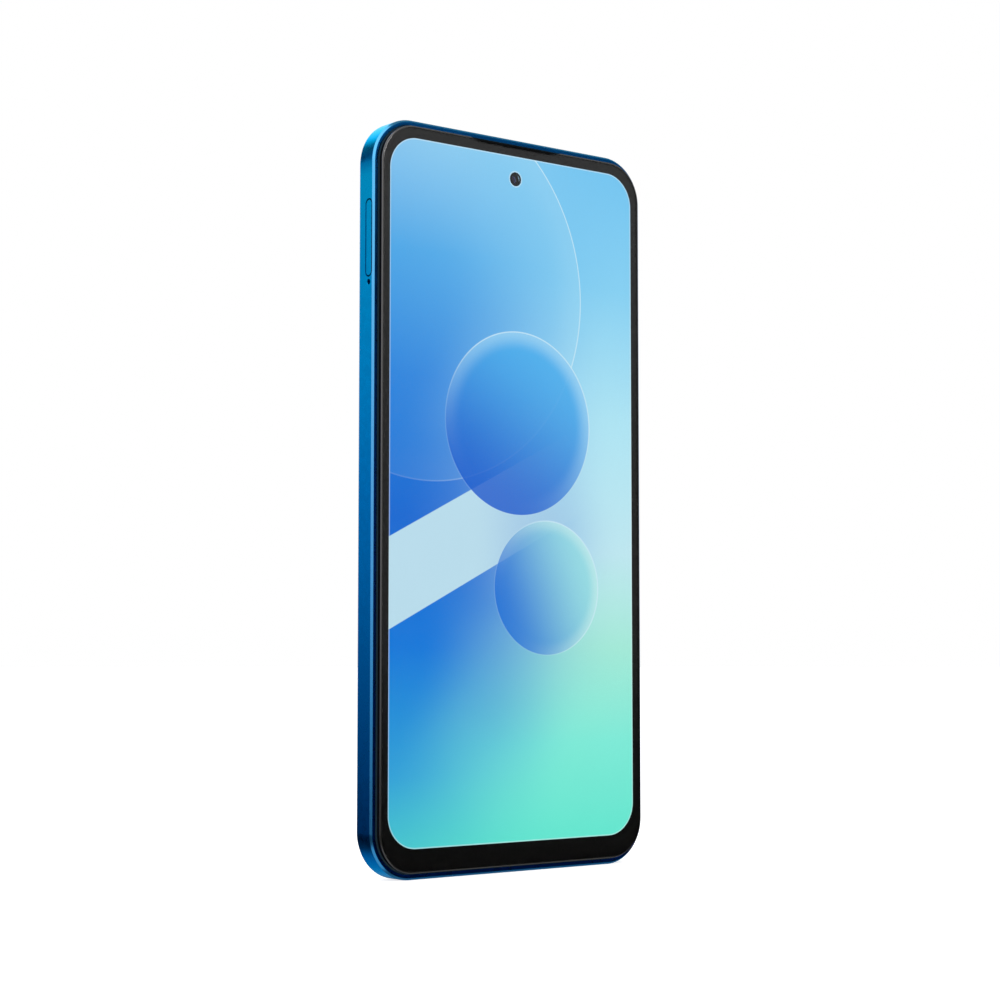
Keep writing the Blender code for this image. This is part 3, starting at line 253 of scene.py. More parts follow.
def rail(name, profile, material):
    """A ring that follows the phone's outline. The profile is a closed list of (inset, y)."""
    return loft(name, [placed(body_outline(i), y, "y") for i, y in profile], material, ring=True)


def rolled(width, depth, steps):
    """A rolled rim as (inset, depth) points, from the edge of the face out to the wall."""
    turns = [math.radians(90 * k / steps) for k in range(steps + 1)]
    return [(width * (1 - math.sin(t)), depth * (1 - math.cos(t))) for t in turns]


def slab(name, outline, low, high, axis, edge, material=None, steps=3):
    """outline(grow) made solid from low to high, with both its rims rounded off by edge."""
    rim = rolled(edge, edge, steps)
    loops = [placed(outline(-shrink), low + rise, axis) for shrink, rise in rim]
    loops += [placed(outline(-shrink), high - rise, axis) for shrink, rise in reversed(rim)]
    return loft(name, loops, material)


def turned(name, a, b, profile, axis, material=None, ring=False, segments=64):
    """A turned solid about an axis through (a, b). The profile is a list of (radius, height)."""
    loops = [placed(circle(a, b, radius, segments), height, axis) for radius, height in profile]
    return loft(name, loops, material, ring=ring)


def prism(points, low, high, axis):
    """A cutter with straight walls."""
    return loft("cutter", [placed(points, low, axis), placed(points, high, axis)])


def cutter(outline, axis, surface, depth, chamfer=CUT_CHAMFER):
    """A cutter that goes in from a face at surface, with a chamfered mouth."""
    inward = math.copysign(1, depth)
    loops = [
        placed(outline(chamfer + PAST), surface - inward * PAST, axis),
        placed(outline(0), surface + inward * chamfer, axis),
        placed(outline(0), surface + depth, axis),
    ]
    return loft("cutter", loops)


def shaped(target, operation, others):
    """Cuts or joins other solids, keeps the resulting mesh and removes the others."""
    for other in others:
        modifier = target.modifiers.new("shape", "BOOLEAN")
        modifier.operation = operation
        modifier.solver = "EXACT"
        modifier.object = other
    bpy.context.view_layer.update()
    graph = bpy.context.evaluated_depsgraph_get()
    mesh = bpy.data.meshes.new_from_object(target.evaluated_get(graph))
    target.modifiers.clear()
    target.data = mesh
    for other in others:
        bpy.data.objects.remove(other, do_unlink=True)
    return target


def cut(target, *cutters):
    return shaped(target, "DIFFERENCE", cutters)


def join(target, *others):
    return shaped(target, "UNION", others)


def fitted(obj, slot_name, *nodes, body="phone_body", sharp=33):
    """Shades a piece, hides the CAD nodes it stands for and hangs it on the body it rides on. slot_name is
    not used.
    """
    obj.data.shade_smooth()
    obj.data.set_sharp_from_angle(angle=math.radians(sharp))
    normals = obj.modifiers.new("normals", "WEIGHTED_NORMAL")
    normals.keep_sharp = True
    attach(obj, body)
    if nodes:
        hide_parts(*nodes)


# ---- Finishes --------------------------------------------------------------------------------
def tint(red, green, blue):
    """A display colour, 0 to 255, as the linear colour that a shader takes."""

    def channel(value):
        value = value / 255
        return value / 12.92 if value <= 0.04045 else ((value + 0.055) / 1.055) ** 2.4

    return (channel(red), channel(green), channel(blue))


class Nodes:
    """A node tree, with short calls for the nodes that the looks use."""

    def __init__(self, tree):
        self.nodes, self.links = tree.nodes, tree.links

    def node(self, kind, **options):
        made = self.nodes.new(kind)
        for option, value in options.items():
            setattr(made, option, value)
        return made

    def feed(self, socket, value):
        """Links or sets a socket. A tuple is a colour, given without its alpha."""
        if isinstance(value, bpy.types.NodeSocket):
            self.links.new(value, socket)
        else:
            socket.default_value = (*value, 1.0) if isinstance(value, tuple) else value

    def output(self, kind, inputs, which=0, **options):
        """Makes a node, feeds its inputs by index or name, and returns one of its outputs."""
        made = self.node(kind, **options)
        for socket, value in inputs.items():
            self.feed(made.inputs[socket], value)
        return made.outputs[which]

    def math(self, operation, first, *others):
        """A maths operation on one value, or on it and each of the others in turn."""
        result = first
        for other in others or (0.0,):
            result = self.output("ShaderNodeMath", {0: result, 1: other}, operation=operation)
        return result

    def plus(self, *terms):
        return self.math("ADD", *terms)

    def minus(self, first, second):
        return self.math("SUBTRACT", first, second)

    def times(self, *terms):
        return self.math("MULTIPLY", *terms)

    def distance(self, x, z):
        return self.math("SQRT", self.plus(self.times(x, x), self.times(z, z)))

    def span(self, value, low, high, out_low=0.0, out_high=1.0, smooth=True):
        """Maps low..high to out_low..out_high and holds it there outside."""
        inputs = dict(enumerate((value, low, high, out_low, out_high)))
        curve = "SMOOTHSTEP" if smooth else "LINEAR"
        return self.output("ShaderNodeMapRange", inputs, interpolation_type=curve)

    def axes(self, value):
        made = self.node("ShaderNodeSeparateXYZ")
        self.links.new(value, made.inputs[0])
        return made.outputs

    def mix(self, factor, first, second, mode="MIX"):
        inputs = {0: factor, 6: first, 7: second}
        return self.output("ShaderNodeMix", inputs, 2, data_type="RGBA", blend_type=mode)

    def ramp(self, value, stops):
        """A colour from (position, colour) stops."""
        made = self.node("ShaderNodeValToRGB")
        self.links.new(value, made.inputs[0])
        elements = made.color_ramp.elements
        while len(elements) < len(stops):
            elements.new(0.5)
        for element, (position, colour) in zip(elements, stops):
            element.position = position
            element.color = (*colour, 1.0)
        return made.outputs[0]


class Finish(Nodes):
    """One Principled material."""

    def __init__(self, name, settings):
        self.material = bpy.data.materials.new(name)
        self.material.use_nodes = True
        super().__init__(self.material.node_tree)
        self.shader = self.nodes["Principled BSDF"]
        for socket, value in settings.items():
            self.set(socket, value)
        self.place = self.node("ShaderNodeTexCoord").outputs["Object"]

    def set(self, socket, value):
        self.feed(self.shader.inputs[socket], value)

    def colour(self, factor, first, second):
        """The base colour, mixed from two."""
        self.set("Base Color", self.mix(factor, first, second))

    def stretched(self, x, y, z):
        made = self.node("ShaderNodeMapping")
        self.links.new(self.place, made.inputs["Vector"])
        made.inputs["Scale"].default_value = (x, y, z)
        return made.outputs[0]

    def noise(self, size, detail=2.0, place=None):
        """Noise from 0 to 1 whose features are about size millimetres across."""
        inputs = {"Vector": place or self.place, "Scale": 1 / (size * MM), "Detail": detail}
        return self.output("ShaderNodeTexNoise", inputs)

    def cells(self, size, **options):
        made = self.node("ShaderNodeTexVoronoi", **options)
        self.links.new(self.place, made.inputs["Vector"])
        made.inputs["Scale"].default_value = 1 / (size * MM)
        return made.outputs

    def waves(self, length, value):
        """Parallel waves along a value, length millimetres from crest to crest."""
        return self.math("SINE", self.times(value, 2 * math.pi / (length * MM)))

    def spread(self, noise, low, high):
        """The middle of a noise's range, drawn out to low..high."""
        return self.span(noise, 0.3, 0.7, low, high)

    def height(self):
        """0 at the foot of the phone and 1 at its top."""
        return self.span(self.axes(self.place)[2], 0.0, HEIGHT * MM, smooth=False)

    def up_the_phone(self, stops):
        return self.ramp(self.height(), stops)

    def past(self, value, centre):
        """How far a coordinate is past a centre in millimetres."""
        return self.minus(value, centre * MM)

    def rough(self, low, high, size):
        """Roughness that wanders between low and high."""
        self.set("Roughness", self.spread(self.noise(size, 3.0), low, high))

    def grain(self, height, depth, strength=0.5):
        """Fine relief, depth millimetres deep."""
        inputs = {"Height": height, "Strength": strength, "Distance": depth * MM}
        self.set("Normal", self.output("ShaderNodeBump", inputs))


# Colours up the phone: of the frame's sides, of its front face, of the polished chamfer between them, and
# of the back. The sides' colours are partly dye and partly painted light: darker towards the foot as
# painted shade, with dips of painted shade just above the foot and just under the top corners, and a
# paler, whiter top as painted highlight. The front face's colours are a darker copy of them, as painted
# shade, and the chamfer's are raised as painted highlight, most at the top. The last is a lens coating's,
# from its middle out to its rim.
SIDE_DYE_AND_PAINTED_LIGHT = (
    (0.0, (0.001, 0.115, 0.42)), (0.06, (0.001, 0.068, 0.32)), (0.13, (0.001, 0.105, 0.43)),
    (0.5, (0.003, 0.205, 0.64)), (0.82, (0.004, 0.37, 0.80)), (0.92, (0.005, 0.46, 0.90)),
    (0.946, (0.002, 0.16, 0.50)), (0.965, (0.012, 0.36, 0.72)), (0.98, (0.08, 0.44, 0.80)),
)
RIM_PAINTED_SHADE_STOPS = (
    (0.0, (0.0, 0.05, 0.36)), (0.5, (0.001, 0.06, 0.38)), (0.8, (0.001, 0.058, 0.22)),
    (1.0, (0.003, 0.11, 0.36)),
)
EDGE_DYE_AND_PAINTED_HIGHLIGHT = (
    (0.0, (0.07, 0.46, 1.0)), (0.2, (0.07, 0.46, 1.0)), (0.5, (0.12, 0.48, 0.95)),
    (1.0, (0.14, 0.60, 1.0)),
)
COVER_STOPS = (
    (0.0, (0.004, 0.05, 0.19)), (0.35, (0.004, 0.10, 0.34)), (0.75, (0.006, 0.22, 0.52)),
    (1.0, (0.01, 0.32, 0.62)),
)
COATING_STOPS = (
    (0.0, (0.010, 0.012, 0.05)), (0.3, (0.09, 0.02, 0.17)), (0.65, (0.01, 0.12, 0.16)),
    (1.0, (0.03, 0.20, 0.12)),
)


def blue_metal_finish(name, stops):
    """Blasted and dyed metal, with the faint mottling that blasting leaves. Its colour up the phone comes
    from the stops given, which carry painted shade and painted highlight.
    """
    finish = Finish(name, {"Metallic": 1.0, "Specular Tint": (0.35, 0.80, 1.0)})
    mottle = finish.spread(finish.noise(0.12, 3.0), 0.0, 0.12)
    finish.colour(mottle, finish.up_the_phone(stops), (0.0, 0.02, 0.10))
    finish.rough(0.26, 0.33, 1.6)
    finish.grain(finish.noise(0.06), 0.0015)
    return finish.material


def blue_edge_finish():
    """The cut and polished chamfer of the frame, brighter than its blasted sides. Its colour is raised
    further as painted highlight, most at the top.
    """
    finish = Finish("blue_polished_edge", {"Metallic": 1.0, "Specular Tint": (0.3, 0.7, 1.0)})
    finish.set("Base Color", finish.up_the_phone(EDGE_DYE_AND_PAINTED_HIGHLIGHT))
    lines = finish.noise(0.12, 2.0, finish.stretched(1.0, 1.0, 0.05))
    finish.set("Roughness", finish.spread(lines, 0.12, 0.2))
    finish.grain(lines, 0.0005, 0.4)
    return finish.material


def clear_glass_finish(name, ior, level, shades, shade_size, haze_size, haze):
    finish = Finish(name, {"Transmission Weight": 1.0, "IOR": ior, "Specular IOR Level": level})
    finish.set("Roughness", finish.spread(finish.noise(haze_size), 0.0, haze))
    finish.colour(finish.noise(shade_size), *shades)
    return finish.material


def specked_finish(name, settings, shades, speck, roughness, relief=None):
    """Fine specks of two close shades. speck is the noise's size and detail, roughness its low,
    high and size, and relief the size and detail of a noise, then its depth and strength."""
    finish = Finish(name, settings)
    finish.colour(finish.noise(*speck), *shades)
    finish.rough(*roughness)
    if relief:
        finish.grain(finish.noise(*relief[:2]), *relief[2:])
    return finish.material


def soft_finish(name, shades, roughness, size):
    """Rubber, tape or film: two close shades and a fine matt grain."""
    settings = {"Specular IOR Level": 0.15}
    relief = (size / 5, 3.0, 0.01, 0.5)
    return specked_finish(name, settings, shades, (size, 4.0), (*roughness, size), relief)


def wallpaper_disc(finish, picture, x, z, centre, radius, colours, lean, opacity):
    """Lays a translucent disc over the picture: a gradient that leans one way, a soft glow inside
    its edge and a thin bright rim, both stronger on the lit side."""
    away = (finish.past(x, centre[0]), finish.past(z, centre[1]))
    distance = finish.distance(*away)
    lean_x, lean_z = math.cos(math.radians(lean)), math.sin(math.radians(lean))
    along = finish.plus(finish.times(away[0], lean_x), finish.times(away[1], lean_z))
    across = finish.span(along, -radius * MM, radius * MM)
    fill = finish.mix(across, colours[0], colours[1])
    glow = finish.span(distance, radius * 0.78 * MM, radius * MM, 0.0, 0.55)
    fill = finish.mix(finish.times(glow, across), fill, colours[2])
    inside = finish.span(distance, radius * MM, (radius - 0.12) * MM)
    laid = finish.mix(finish.times(inside, opacity), picture, fill)
    rim_width = 0.24
    off_rim = finish.math("ABSOLUTE", finish.past(distance, radius))
    line = finish.span(off_rim, rim_width * MM, 0.0)
    rim = finish.times(line, finish.span(across, 0.1, 1.0, 0.12, 0.8))
    return finish.mix(rim, laid, tint(214, 244, 255))


def wallpaper_band(finish, picture, x, z, low, top, slope, colour):
    """Lays a slanting band, from low to top where it meets the left edge. It fades to the right."""
    from_left = finish.plus(x, SCREEN_HALF_WIDTH * MM)
    height = finish.minus(z, finish.times(from_left, slope))
    lower = finish.span(height, (low - 0.2) * MM, low * MM)
    upper = finish.span(height, (top + 0.2) * MM, top * MM)
    fade = finish.span(from_left, 22.0 * MM, 58.0 * MM, 1.0, 0.0)
    return finish.mix(finish.times(lower, upper, fade), picture, colour)


def screen_edge(finish, x, z):
    """1 on a fine line inside the picture's edge and on a ring round the punch hole, 0 elsewhere."""
    straight = (SCREEN_HALF_WIDTH - SCREEN_CORNER, (SCREEN_TOP - SCREEN_LOW) / 2 - SCREEN_CORNER)
    away = []
    for value, reach in zip((x, finish.past(z, middle(SCREEN_LOW, SCREEN_TOP))), straight):
        beyond = finish.past(finish.math("ABSOLUTE", value), reach)
        away.append(finish.math("MAXIMUM", beyond, 0.0))
    line = ((SCREEN_CORNER - 0.36) * MM, (SCREEN_CORNER - 0.16) * MM)
    border = finish.span(finish.distance(*away), *line)
    ring = ((PUNCH_RADIUS + 0.42) * MM, (PUNCH_RADIUS + 0.2) * MM)
    hole = finish.span(finish.distance(x, finish.past(z, CAMERA_Z)), *ring)
    return finish.math("MAXIMUM", border, hole)


# Colours of the picture up its left and its right edge.
PICTURE_LEFT = (
    (0.0, tint(70, 200, 212)), (0.10, tint(50, 165, 222)), (0.28, tint(0, 122, 222)),
    (0.46, tint(0, 106, 214)), (0.66, tint(0, 126, 224)), (0.84, tint(62, 168, 236)),
    (1.0, tint(142, 208, 246)),
)
PICTURE_RIGHT = (
    (0.0, tint(104, 238, 214)), (0.14, tint(130, 242, 222)), (0.28, tint(168, 240, 222)),
    (0.42, tint(196, 238, 247)), (0.62, tint(178, 234, 250)), (0.82, tint(134, 212, 248)),
    (1.0, tint(112, 200, 246)),
)
# Each disc's centre and radius, its colours (dark side, lit side and glow), lean and opacity.
PICTURE_DISCS = (
    ((-24.0, 128.0), 43.0, (tint(0, 132, 226), tint(150, 218, 248), tint(196, 238, 252)), 20.0, 0.24),
    ((1.0, 99.0), 20.5, (tint(0, 96, 210), tint(70, 178, 242), tint(186, 232, 252)), 62.0, 0.92),
    ((9.0, 62.5), 15.0, (tint(0, 112, 218), tint(150, 226, 232), tint(214, 248, 244)), 25.0, 0.82),
)


def display_finish():
    """The lit panel: a plain abstract picture of soft blue and green light with round discs."""
    settings = {"Roughness": 0.5, "Specular IOR Level": 0.05, "Base Color": (0.004, 0.004, 0.004)}
    finish = Finish("lit_display", settings)
    x, _, z = finish.axes(finish.place)
    across = finish.span(x, -SCREEN_HALF_WIDTH * MM, SCREEN_HALF_WIDTH * MM, smooth=False)
    up = finish.span(z, SCREEN_LOW * MM, SCREEN_TOP * MM, smooth=False)
    drift = finish.spread(finish.noise(46.0, 1.0), -0.07, 0.07)
    low_part = finish.span(up, 0.0, 0.3, -0.30, 0.0)
    share = finish.span(finish.minus(finish.plus(across, drift), low_part), 0.1, 1.0)
    picture = finish.mix(share, finish.ramp(up, PICTURE_LEFT), finish.ramp(up, PICTURE_RIGHT))
    band = {"low": 53.0, "top": 72.5, "slope": 0.5, "colour": tint(190, 226, 242)}
    picture = wallpaper_band(finish, picture, x, z, **band)
    for disc in PICTURE_DISCS:
        picture = wallpaper_disc(finish, picture, x, z, *disc)
    edge = finish.times(screen_edge(finish, x, z), 0.38)
    picture = finish.mix(edge, picture, tint(235, 250, 255))
    dim = finish.span(finish.cells(0.12)["Distance"], 0.0, 1.0, 1.0, 0.94, smooth=False)
    finish.set("Emission Color", finish.mix(1.0, picture, dim, "MULTIPLY"))
    finish.set("Emission Strength", 1.05)
    return finish.material


def blue_cover_finish():
    """Lacquered plastic with fine pearl flakes, paler towards the top like the frame."""
    settings = {"Coat Weight": 1.0, "Coat Roughness": 0.06, "Metallic": 0.55, "Coat IOR": 1.5}
    finish = Finish("blue_pearl_cover", settings)
    flakes = finish.cells(0.16)
    glint = finish.span(finish.axes(flakes["Color"])[0], 0.82, 1.0, 0.0, 0.5)
    colour = finish.up_the_phone(COVER_STOPS)
    finish.colour(glint, colour, (0.20, 0.55, 0.85))
    finish.rough(0.24, 0.34, 0.3)
    finish.grain(flakes["Distance"], 0.003, 0.35)
    return finish.material


def island_finish():
    settings = {"Coat Weight": 1.0, "Coat Roughness": 0.03, "Metallic": 0.6}
    finish = Finish("island_gloss", settings)
    glint = finish.span(finish.axes(finish.cells(0.12)["Color"])[1], 0.86, 1.0, 0.0, 0.35)
    deep = finish.mix(finish.height(), (0.004, 0.03, 0.12), (0.006, 0.07, 0.24))
    finish.colour(glint, deep, (0.10, 0.32, 0.60))
    finish.rough(0.2, 0.3, 0.7)
    finish.grain(finish.noise(0.2), 0.002, 0.3)
    return finish.material


def turned_metal_finish(name, colour, centre_z):
    """Metal with the fine circular lines of a lathe about a lens axis."""
    finish = Finish(name, {"Metallic": 1.0})
    x, _, z = finish.axes(finish.place)
    rings = finish.waves(0.09, finish.distance(finish.past(x, LENS_X), finish.past(z, centre_z)))
    darker = tuple(0.8 * channel for channel in colour)
    finish.colour(finish.noise(0.4, 3.0), colour, darker)
    finish.set("Roughness", finish.span(rings, -1.0, 1.0, 0.2, 0.3))
    finish.grain(rings, 0.0015, 0.4)
    return finish.material


def coated_lens_finish():
    """A lens element whose coating turns from violet to green towards its rim."""
    finish = Finish("coated_lens", {"Coat Weight": 1.0, "Coat Roughness": 0.02, "Metallic": 0.7})
    facing = finish.output("ShaderNodeLayerWeight", {"Blend": 0.35}, "Facing")
    colour = finish.ramp(facing, COATING_STOPS)
    finish.colour(finish.noise(1.5, 1.0), colour, (0.01, 0.012, 0.03))
    finish.rough(0.04, 0.09, 2.0)
    return finish.material


def sheet_metal_finish(name, colour, low, high, stretch):
    """Rolled sheet metal: fine lines drawn out along the roll, and a mild mottling."""
    finish = Finish(name, {"Metallic": 1.0})
    lines = finish.noise(0.1, 3.0, finish.stretched(*stretch))
    mottle = finish.span(finish.noise(2.5, 4.0), 0.25, 0.75, 0.0, 0.6)
    darker = tuple(0.72 * channel for channel in colour)
    finish.colour(mottle, colour, darker)
    finish.set("Roughness", finish.spread(lines, low, high))
    finish.grain(lines, 0.002)
    return finish.material


def gold_contact_finish():
    finish = Finish("gold_contact", {"Metallic": 1.0})
    wear = finish.span(finish.noise(0.3, 4.0), 0.4, 0.75)
    finish.colour(wear, (0.80, 0.52, 0.18), (0.62, 0.44, 0.22))
    finish.rough(0.16, 0.3, 0.4)
    return finish.material


def flex_finish():
    """Copper tracks under an amber film."""
    finish = Finish("flex_circuit", {"Coat Weight": 0.6, "Coat Roughness": 0.2})
    copper = finish.span(finish.waves(0.5, finish.axes(finish.place)[0]), 0.1, 0.4)
    film = finish.mix(finish.noise(4.0, 3.0), (0.16, 0.045, 0.010), (0.24, 0.075, 0.016))
    finish.colour(copper, film, (0.42, 0.16, 0.04))
    finish.rough(0.3, 0.42, 1.0)
    finish.grain(copper, 0.01)
    return finish.material


def board_finish():
    """Solder mask over tracks, with bare pads."""
    finish = Finish("circuit_board", {"Coat Weight": 0.5, "Coat Roughness": 0.15})
    pads = finish.span(finish.cells(2.2, distance="CHEBYCHEV")["Distance"], 0.14, 0.11)
    tracks = finish.waves(0.6, finish.axes(finish.place)[2])
    mask = finish.mix(finish.span(tracks, 0.5, 0.7), (0.004, 0.045, 0.03), (0.008, 0.09, 0.06))
    finish.colour(pads, mask, (0.55, 0.42, 0.2))
    finish.rough(0.28, 0.4, 0.8)
    finish.grain(finish.plus(pads, tracks), 0.01, 0.4)
    return finish.material


def battery_finish():
    """A laminated pouch with a soft wrinkle."""
    finish = Finish("battery_pouch", {"Metallic": 0.5})
    wrinkle = finish.noise(9.0, 5.0, finish.stretched(1.0, 1.0, 0.4))
    finish.colour(wrinkle, (0.02, 0.02, 0.023), (0.05, 0.05, 0.055))
    finish.rough(0.34, 0.5, 3.0)
    finish.grain(wrinkle, 0.15)
    return finish.material


# Finishes of fine specks, each as specked_finish takes it after the name.
SPECKED = {
    "front_glass_rim": (  # ground and lacquered, so that it catches the light
        {"Coat Weight": 1.0, "Coat IOR": 1.9, "Coat Roughness": 0.08, "Specular IOR Level": 0.6},
        ((0.004, 0.004, 0.0035), (0.008, 0.0075, 0.0065)),
        (0.2, 3.0),
        (0.19, 0.23, 5.0),
    ),
    "border_print": (
        {"Specular IOR Level": 0.2},
        ((0.0012, 0.001, 0.0006), (0.003, 0.0025, 0.0018)),
        (0.25, 4.0),
        (0.5, 0.65, 0.6),
    ),
    "black_moulded_plastic": (
        {"Specular IOR Level": 0.4},
        ((0.006, 0.006, 0.0065), (0.013, 0.013, 0.014)),
        (0.5, 4.0),
        (0.38, 0.52, 0.8),
        (0.07, 3.0, 0.006, 0.5),
    ),
    "camera_black": (
        {"Specular IOR Level": 0.3},
        ((0.002, 0.002, 0.0025), (0.006, 0.006, 0.007)),
        (0.3, 4.0),
        (0.3, 0.45, 0.5),
        (0.06, 3.0, 0.004, 0.4),
    ),
    "black_mesh": (
        {"Metallic": 0.6},
        ((0.006, 0.006, 0.007), (0.02, 0.02, 0.022)),
        (0.2, 3.0),
        (0.4, 0.55, 0.3),
        (0.05, 2.0, 0.003, 0.4),
    ),
    "flash_cap": (  # clear, over its pale yellow lamp
        {"Transmission Weight": 0.6, "IOR": 1.5, "Coat Weight": 0.5},
        ((0.92, 0.86, 0.62), (0.95, 0.92, 0.80)),
        (0.6, 2.0),
        (0.08, 0.16, 0.5),
    ),
}
# Rubber, tape and film: two shades, the least and most roughness, and the size of the specks.
SOFT = {
    "glass_seat_black": (((0.0006, 0.0006, 0.0006), (0.0015, 0.0015, 0.0015)), (0.6, 0.8), 0.3),
    # A navy tint on the black seat: painted reflection of the blue frame.
    "seat_painted_frame_reflection": (((0.003, 0.015, 0.026), (0.005, 0.021, 0.034)), (0.45, 0.6), 0.3),
    "backlight_film": (((0.7, 0.71, 0.72), (0.8, 0.8, 0.8)), (0.25, 0.4), 3.0),
    "tray_seal_rubber": (((0.26, 0.02, 0.015), (0.34, 0.035, 0.025)), (0.6, 0.75), 0.4),
    "adhesive_tape": (((0.72, 0.72, 0.70), (0.82, 0.82, 0.80)), (0.5, 0.7), 1.0),
}


def make_finishes():
    """Every finish, under the name of the CAD material that it stands for or of its own use."""
    silver, grey, blue = (0.62, 0.62, 0.64), (0.50, 0.51, 0.53), (0.01, 0.20, 0.52)
    specked = {name: specked_finish(name, *values) for name, values in SPECKED.items()}
    soft = {name: soft_finish(name, *values) for name, values in SOFT.items()}
    front_shades = ((0.97, 0.98, 0.98), (1.0, 1.0, 1.0))
    window_shades = ((0.62, 0.66, 0.72), (0.70, 0.74, 0.80))
    return {
        # The sides' colour holds painted shade and painted highlight as well as the dye.
        "blue_metal": blue_metal_finish("blue_anodised", SIDE_DYE_AND_PAINTED_LIGHT),
        # A darker copy of the sides' colours, as painted shade on the rim and in the tray's gap.
        "blue_rim": blue_metal_finish("blue_anodised_painted_shade", RIM_PAINTED_SHADE_STOPS),
        "blue_edge": blue_edge_finish(),
        "cover_glass": clear_glass_finish("front_glass", 1.5, 0.5, front_shades, 14.0, 9.0, 0.012),
        "glass_rim": specked["front_glass_rim"],
        "seat_black": soft["glass_seat_black"],
        "bumper": soft["seat_painted_frame_reflection"],
        "border": specked["border_print"],
        "display": display_finish(),
        "backlight_film": soft["backlight_film"],
        "black_plastic": specked["black_moulded_plastic"],
        "blue_cover": blue_cover_finish(),
        "island": island_finish(),
        "main_ring": turned_metal_finish("main_ring_metal", blue, MAIN_LENS_Z),
        "second_ring": turned_metal_finish("second_ring_metal", blue, SECOND_LENS_Z),
        "camera_black": specked["camera_black"],
        "coated_lens": coated_lens_finish(),
        "camera_glass": clear_glass_finish("camera_window_glass", 1.3, 0.4, window_shades, 3.0, 2.0, 0.02),
        "black_mesh": specked["black_mesh"],
        "plate_metal": sheet_metal_finish("plate_metal", silver, 0.3, 0.42, (1.0, 1.0, 0.06)),
        "steel": sheet_metal_finish("rolled_steel", grey, 0.22, 0.34, (0.06, 1.0, 1.0)),
        "gold": gold_contact_finish(),
        "flex_circuit": flex_finish(),
        "rubber": soft["tray_seal_rubber"],
        "circuit_board": board_finish(),
        "battery_pouch": battery_finish(),
        "white_tape": soft["adhesive_tape"],
        "flash_diffuser": specked["flash_cap"],
    }


def dress_cad_nodes(m):
    """Gives each CAD node's material slot its finish."""
    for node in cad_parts.values():
        for holder in node.material_slots:
            if holder.material and holder.material.name in m:
                holder.material = m[holder.material.name]


# ---- Front -----------------------------------------------------------------------------------
def earpiece_notch(depth, y0, y1):
    """A cutter for the slit over the earpiece. Its lower corners are drawn out to points."""
    half, reach, lip, steps = SLIT_HALF_WIDTH, 4.2, 0.05, 8
    top = HEIGHT - GLASS_INSET
    points = [(half, top + PAST), (-half, top + PAST), (-half, top - lip)]
    for k in range(1, steps + 1):
        t = k / steps
        points.append((-half + reach * t, top - depth + (depth - lip) * (1 - t) ** 2))
    points += [(-x, z) for x, z in points[:1:-1]]
    return prism(points, y0, y1, "y")


def make_cover_glass(m):
    """The front glass, with its rim rolled over to the front and a fine seam at the back."""
    seam = 0.05
    profile = [(GLASS_INSET + inset, FRONT_Y + depth) for inset, depth in rolled(0.42, 0.35, 8)]
    profile += [(GLASS_INSET, GLASS_BACK - seam), (GLASS_INSET + seam, GLASS_BACK)]
    loops = [placed(body_outline(inset), y, "y") for inset, y in profile]
    glass = loft("front_glass", loops, m["cover_glass"])
    cut(glass, earpiece_notch(SLIT_DEPTH, FRONT_Y - PAST, GLASS_BACK + PAST))
    glass.data.materials.append(m["glass_rim"])
    glass.data.materials.append(m["seat_black"])
    for face in glass.data.polygons:
        in_slit = abs(face.center.x) < SLIT_HALF_WIDTH * MM and face.center.z > (HEIGHT - 3.0) * MM
        rolled_over = -0.995 < face.normal.y < -0.05
        face.material_index = 2 if in_slit and abs(face.normal.y) < 0.3 else int(rolled_over)
    fitted(glass, "cover_glass", "cover_glass")


def make_border_print(m):
    """The black print behind the glass, open where the picture shows, and a ring round the camera."""
    front, back = GLASS_BACK + 0.008, GLASS_BACK + 0.035
    outer = body_outline(GLASS_INSET + 0.06)
    half = SCREEN_HALF_WIDTH
    inner = rounded(-half, half, SCREEN_LOW, SCREEN_TOP, SCREEN_CORNER, steps=24)
    corners = ((outer, front), (outer, back), (inner, back), (inner, front))
    loops = [placed(outline, y, "y") for outline, y in corners]
    border = loft("border_print", loops, m["border"], ring=True)
    cut(border, earpiece_notch(SLIT_DEPTH + 0.05, front - PAST, back + PAST))
    fitted(border, "black_plastic")
    hole = 1.05
    profile = [(PUNCH_RADIUS, front), (PUNCH_RADIUS, back), (hole, back), (hole, front)]
    ring = turned("punch_hole_print", 0, CAMERA_Z, profile, "y", m["seat_black"], ring=True)
    fitted(ring, "black_plastic")


def make_display_panel(m):
    outline = box_at(PANEL_LOW.x, PANEL_HIGH.x, PANEL_LOW.z, PANEL_HIGH.z, 7.9, 16)
    panel = slab("lit_panel", outline, PANEL_LOW.y, PANEL_HIGH.y, "y", 0.06, m["display"], 2)
    cut(panel, cutter(circle_at(0, CAMERA_Z, PUNCH_RADIUS), "y", PANEL_LOW.y, 2.0, 0.03))
    fitted(panel, "display", "display_panel")


def make_gasket(m):
    """The black ring that seats the glass, with a small bumper between glass and frame. The bumper's front
    strip is tinted navy as painted reflection of the blue frame.
    """
    low, high = node_box("display_gasket")
    seat, inner, bumper = GLASS_INSET + 0.05, 2.6, FRAME_WALL + 0.004
    profile = [
        (seat, low.y), (seat, RIM_Y - 0.1), (bumper, RIM_Y + 0.04), (bumper, high.y),
        (inner, high.y), (inner, low.y),
    ]
    gasket = rail("glass_seat", eased(profile, 0.06), m["seat_black"])
    top = HEIGHT - seat
    notch = rounded(-SLIT_HALF_WIDTH, SLIT_HALF_WIDTH, top - SLIT_DEPTH, top + PAST, 0.05, 0.3)
    cut(gasket, prism(notch, low.y - PAST, RIM_Y - 0.15, "y"))
    # The front-facing strip by the frame takes the navy of painted reflection.
    gasket.data.materials.append(m["bumper"])
    for face in gasket.data.polygons:
        face.material_index = int(face.center.y > (RIM_Y - 0.12) * MM and face.normal.y < -0.3)
    fitted(gasket, "black_plastic", "display_gasket")


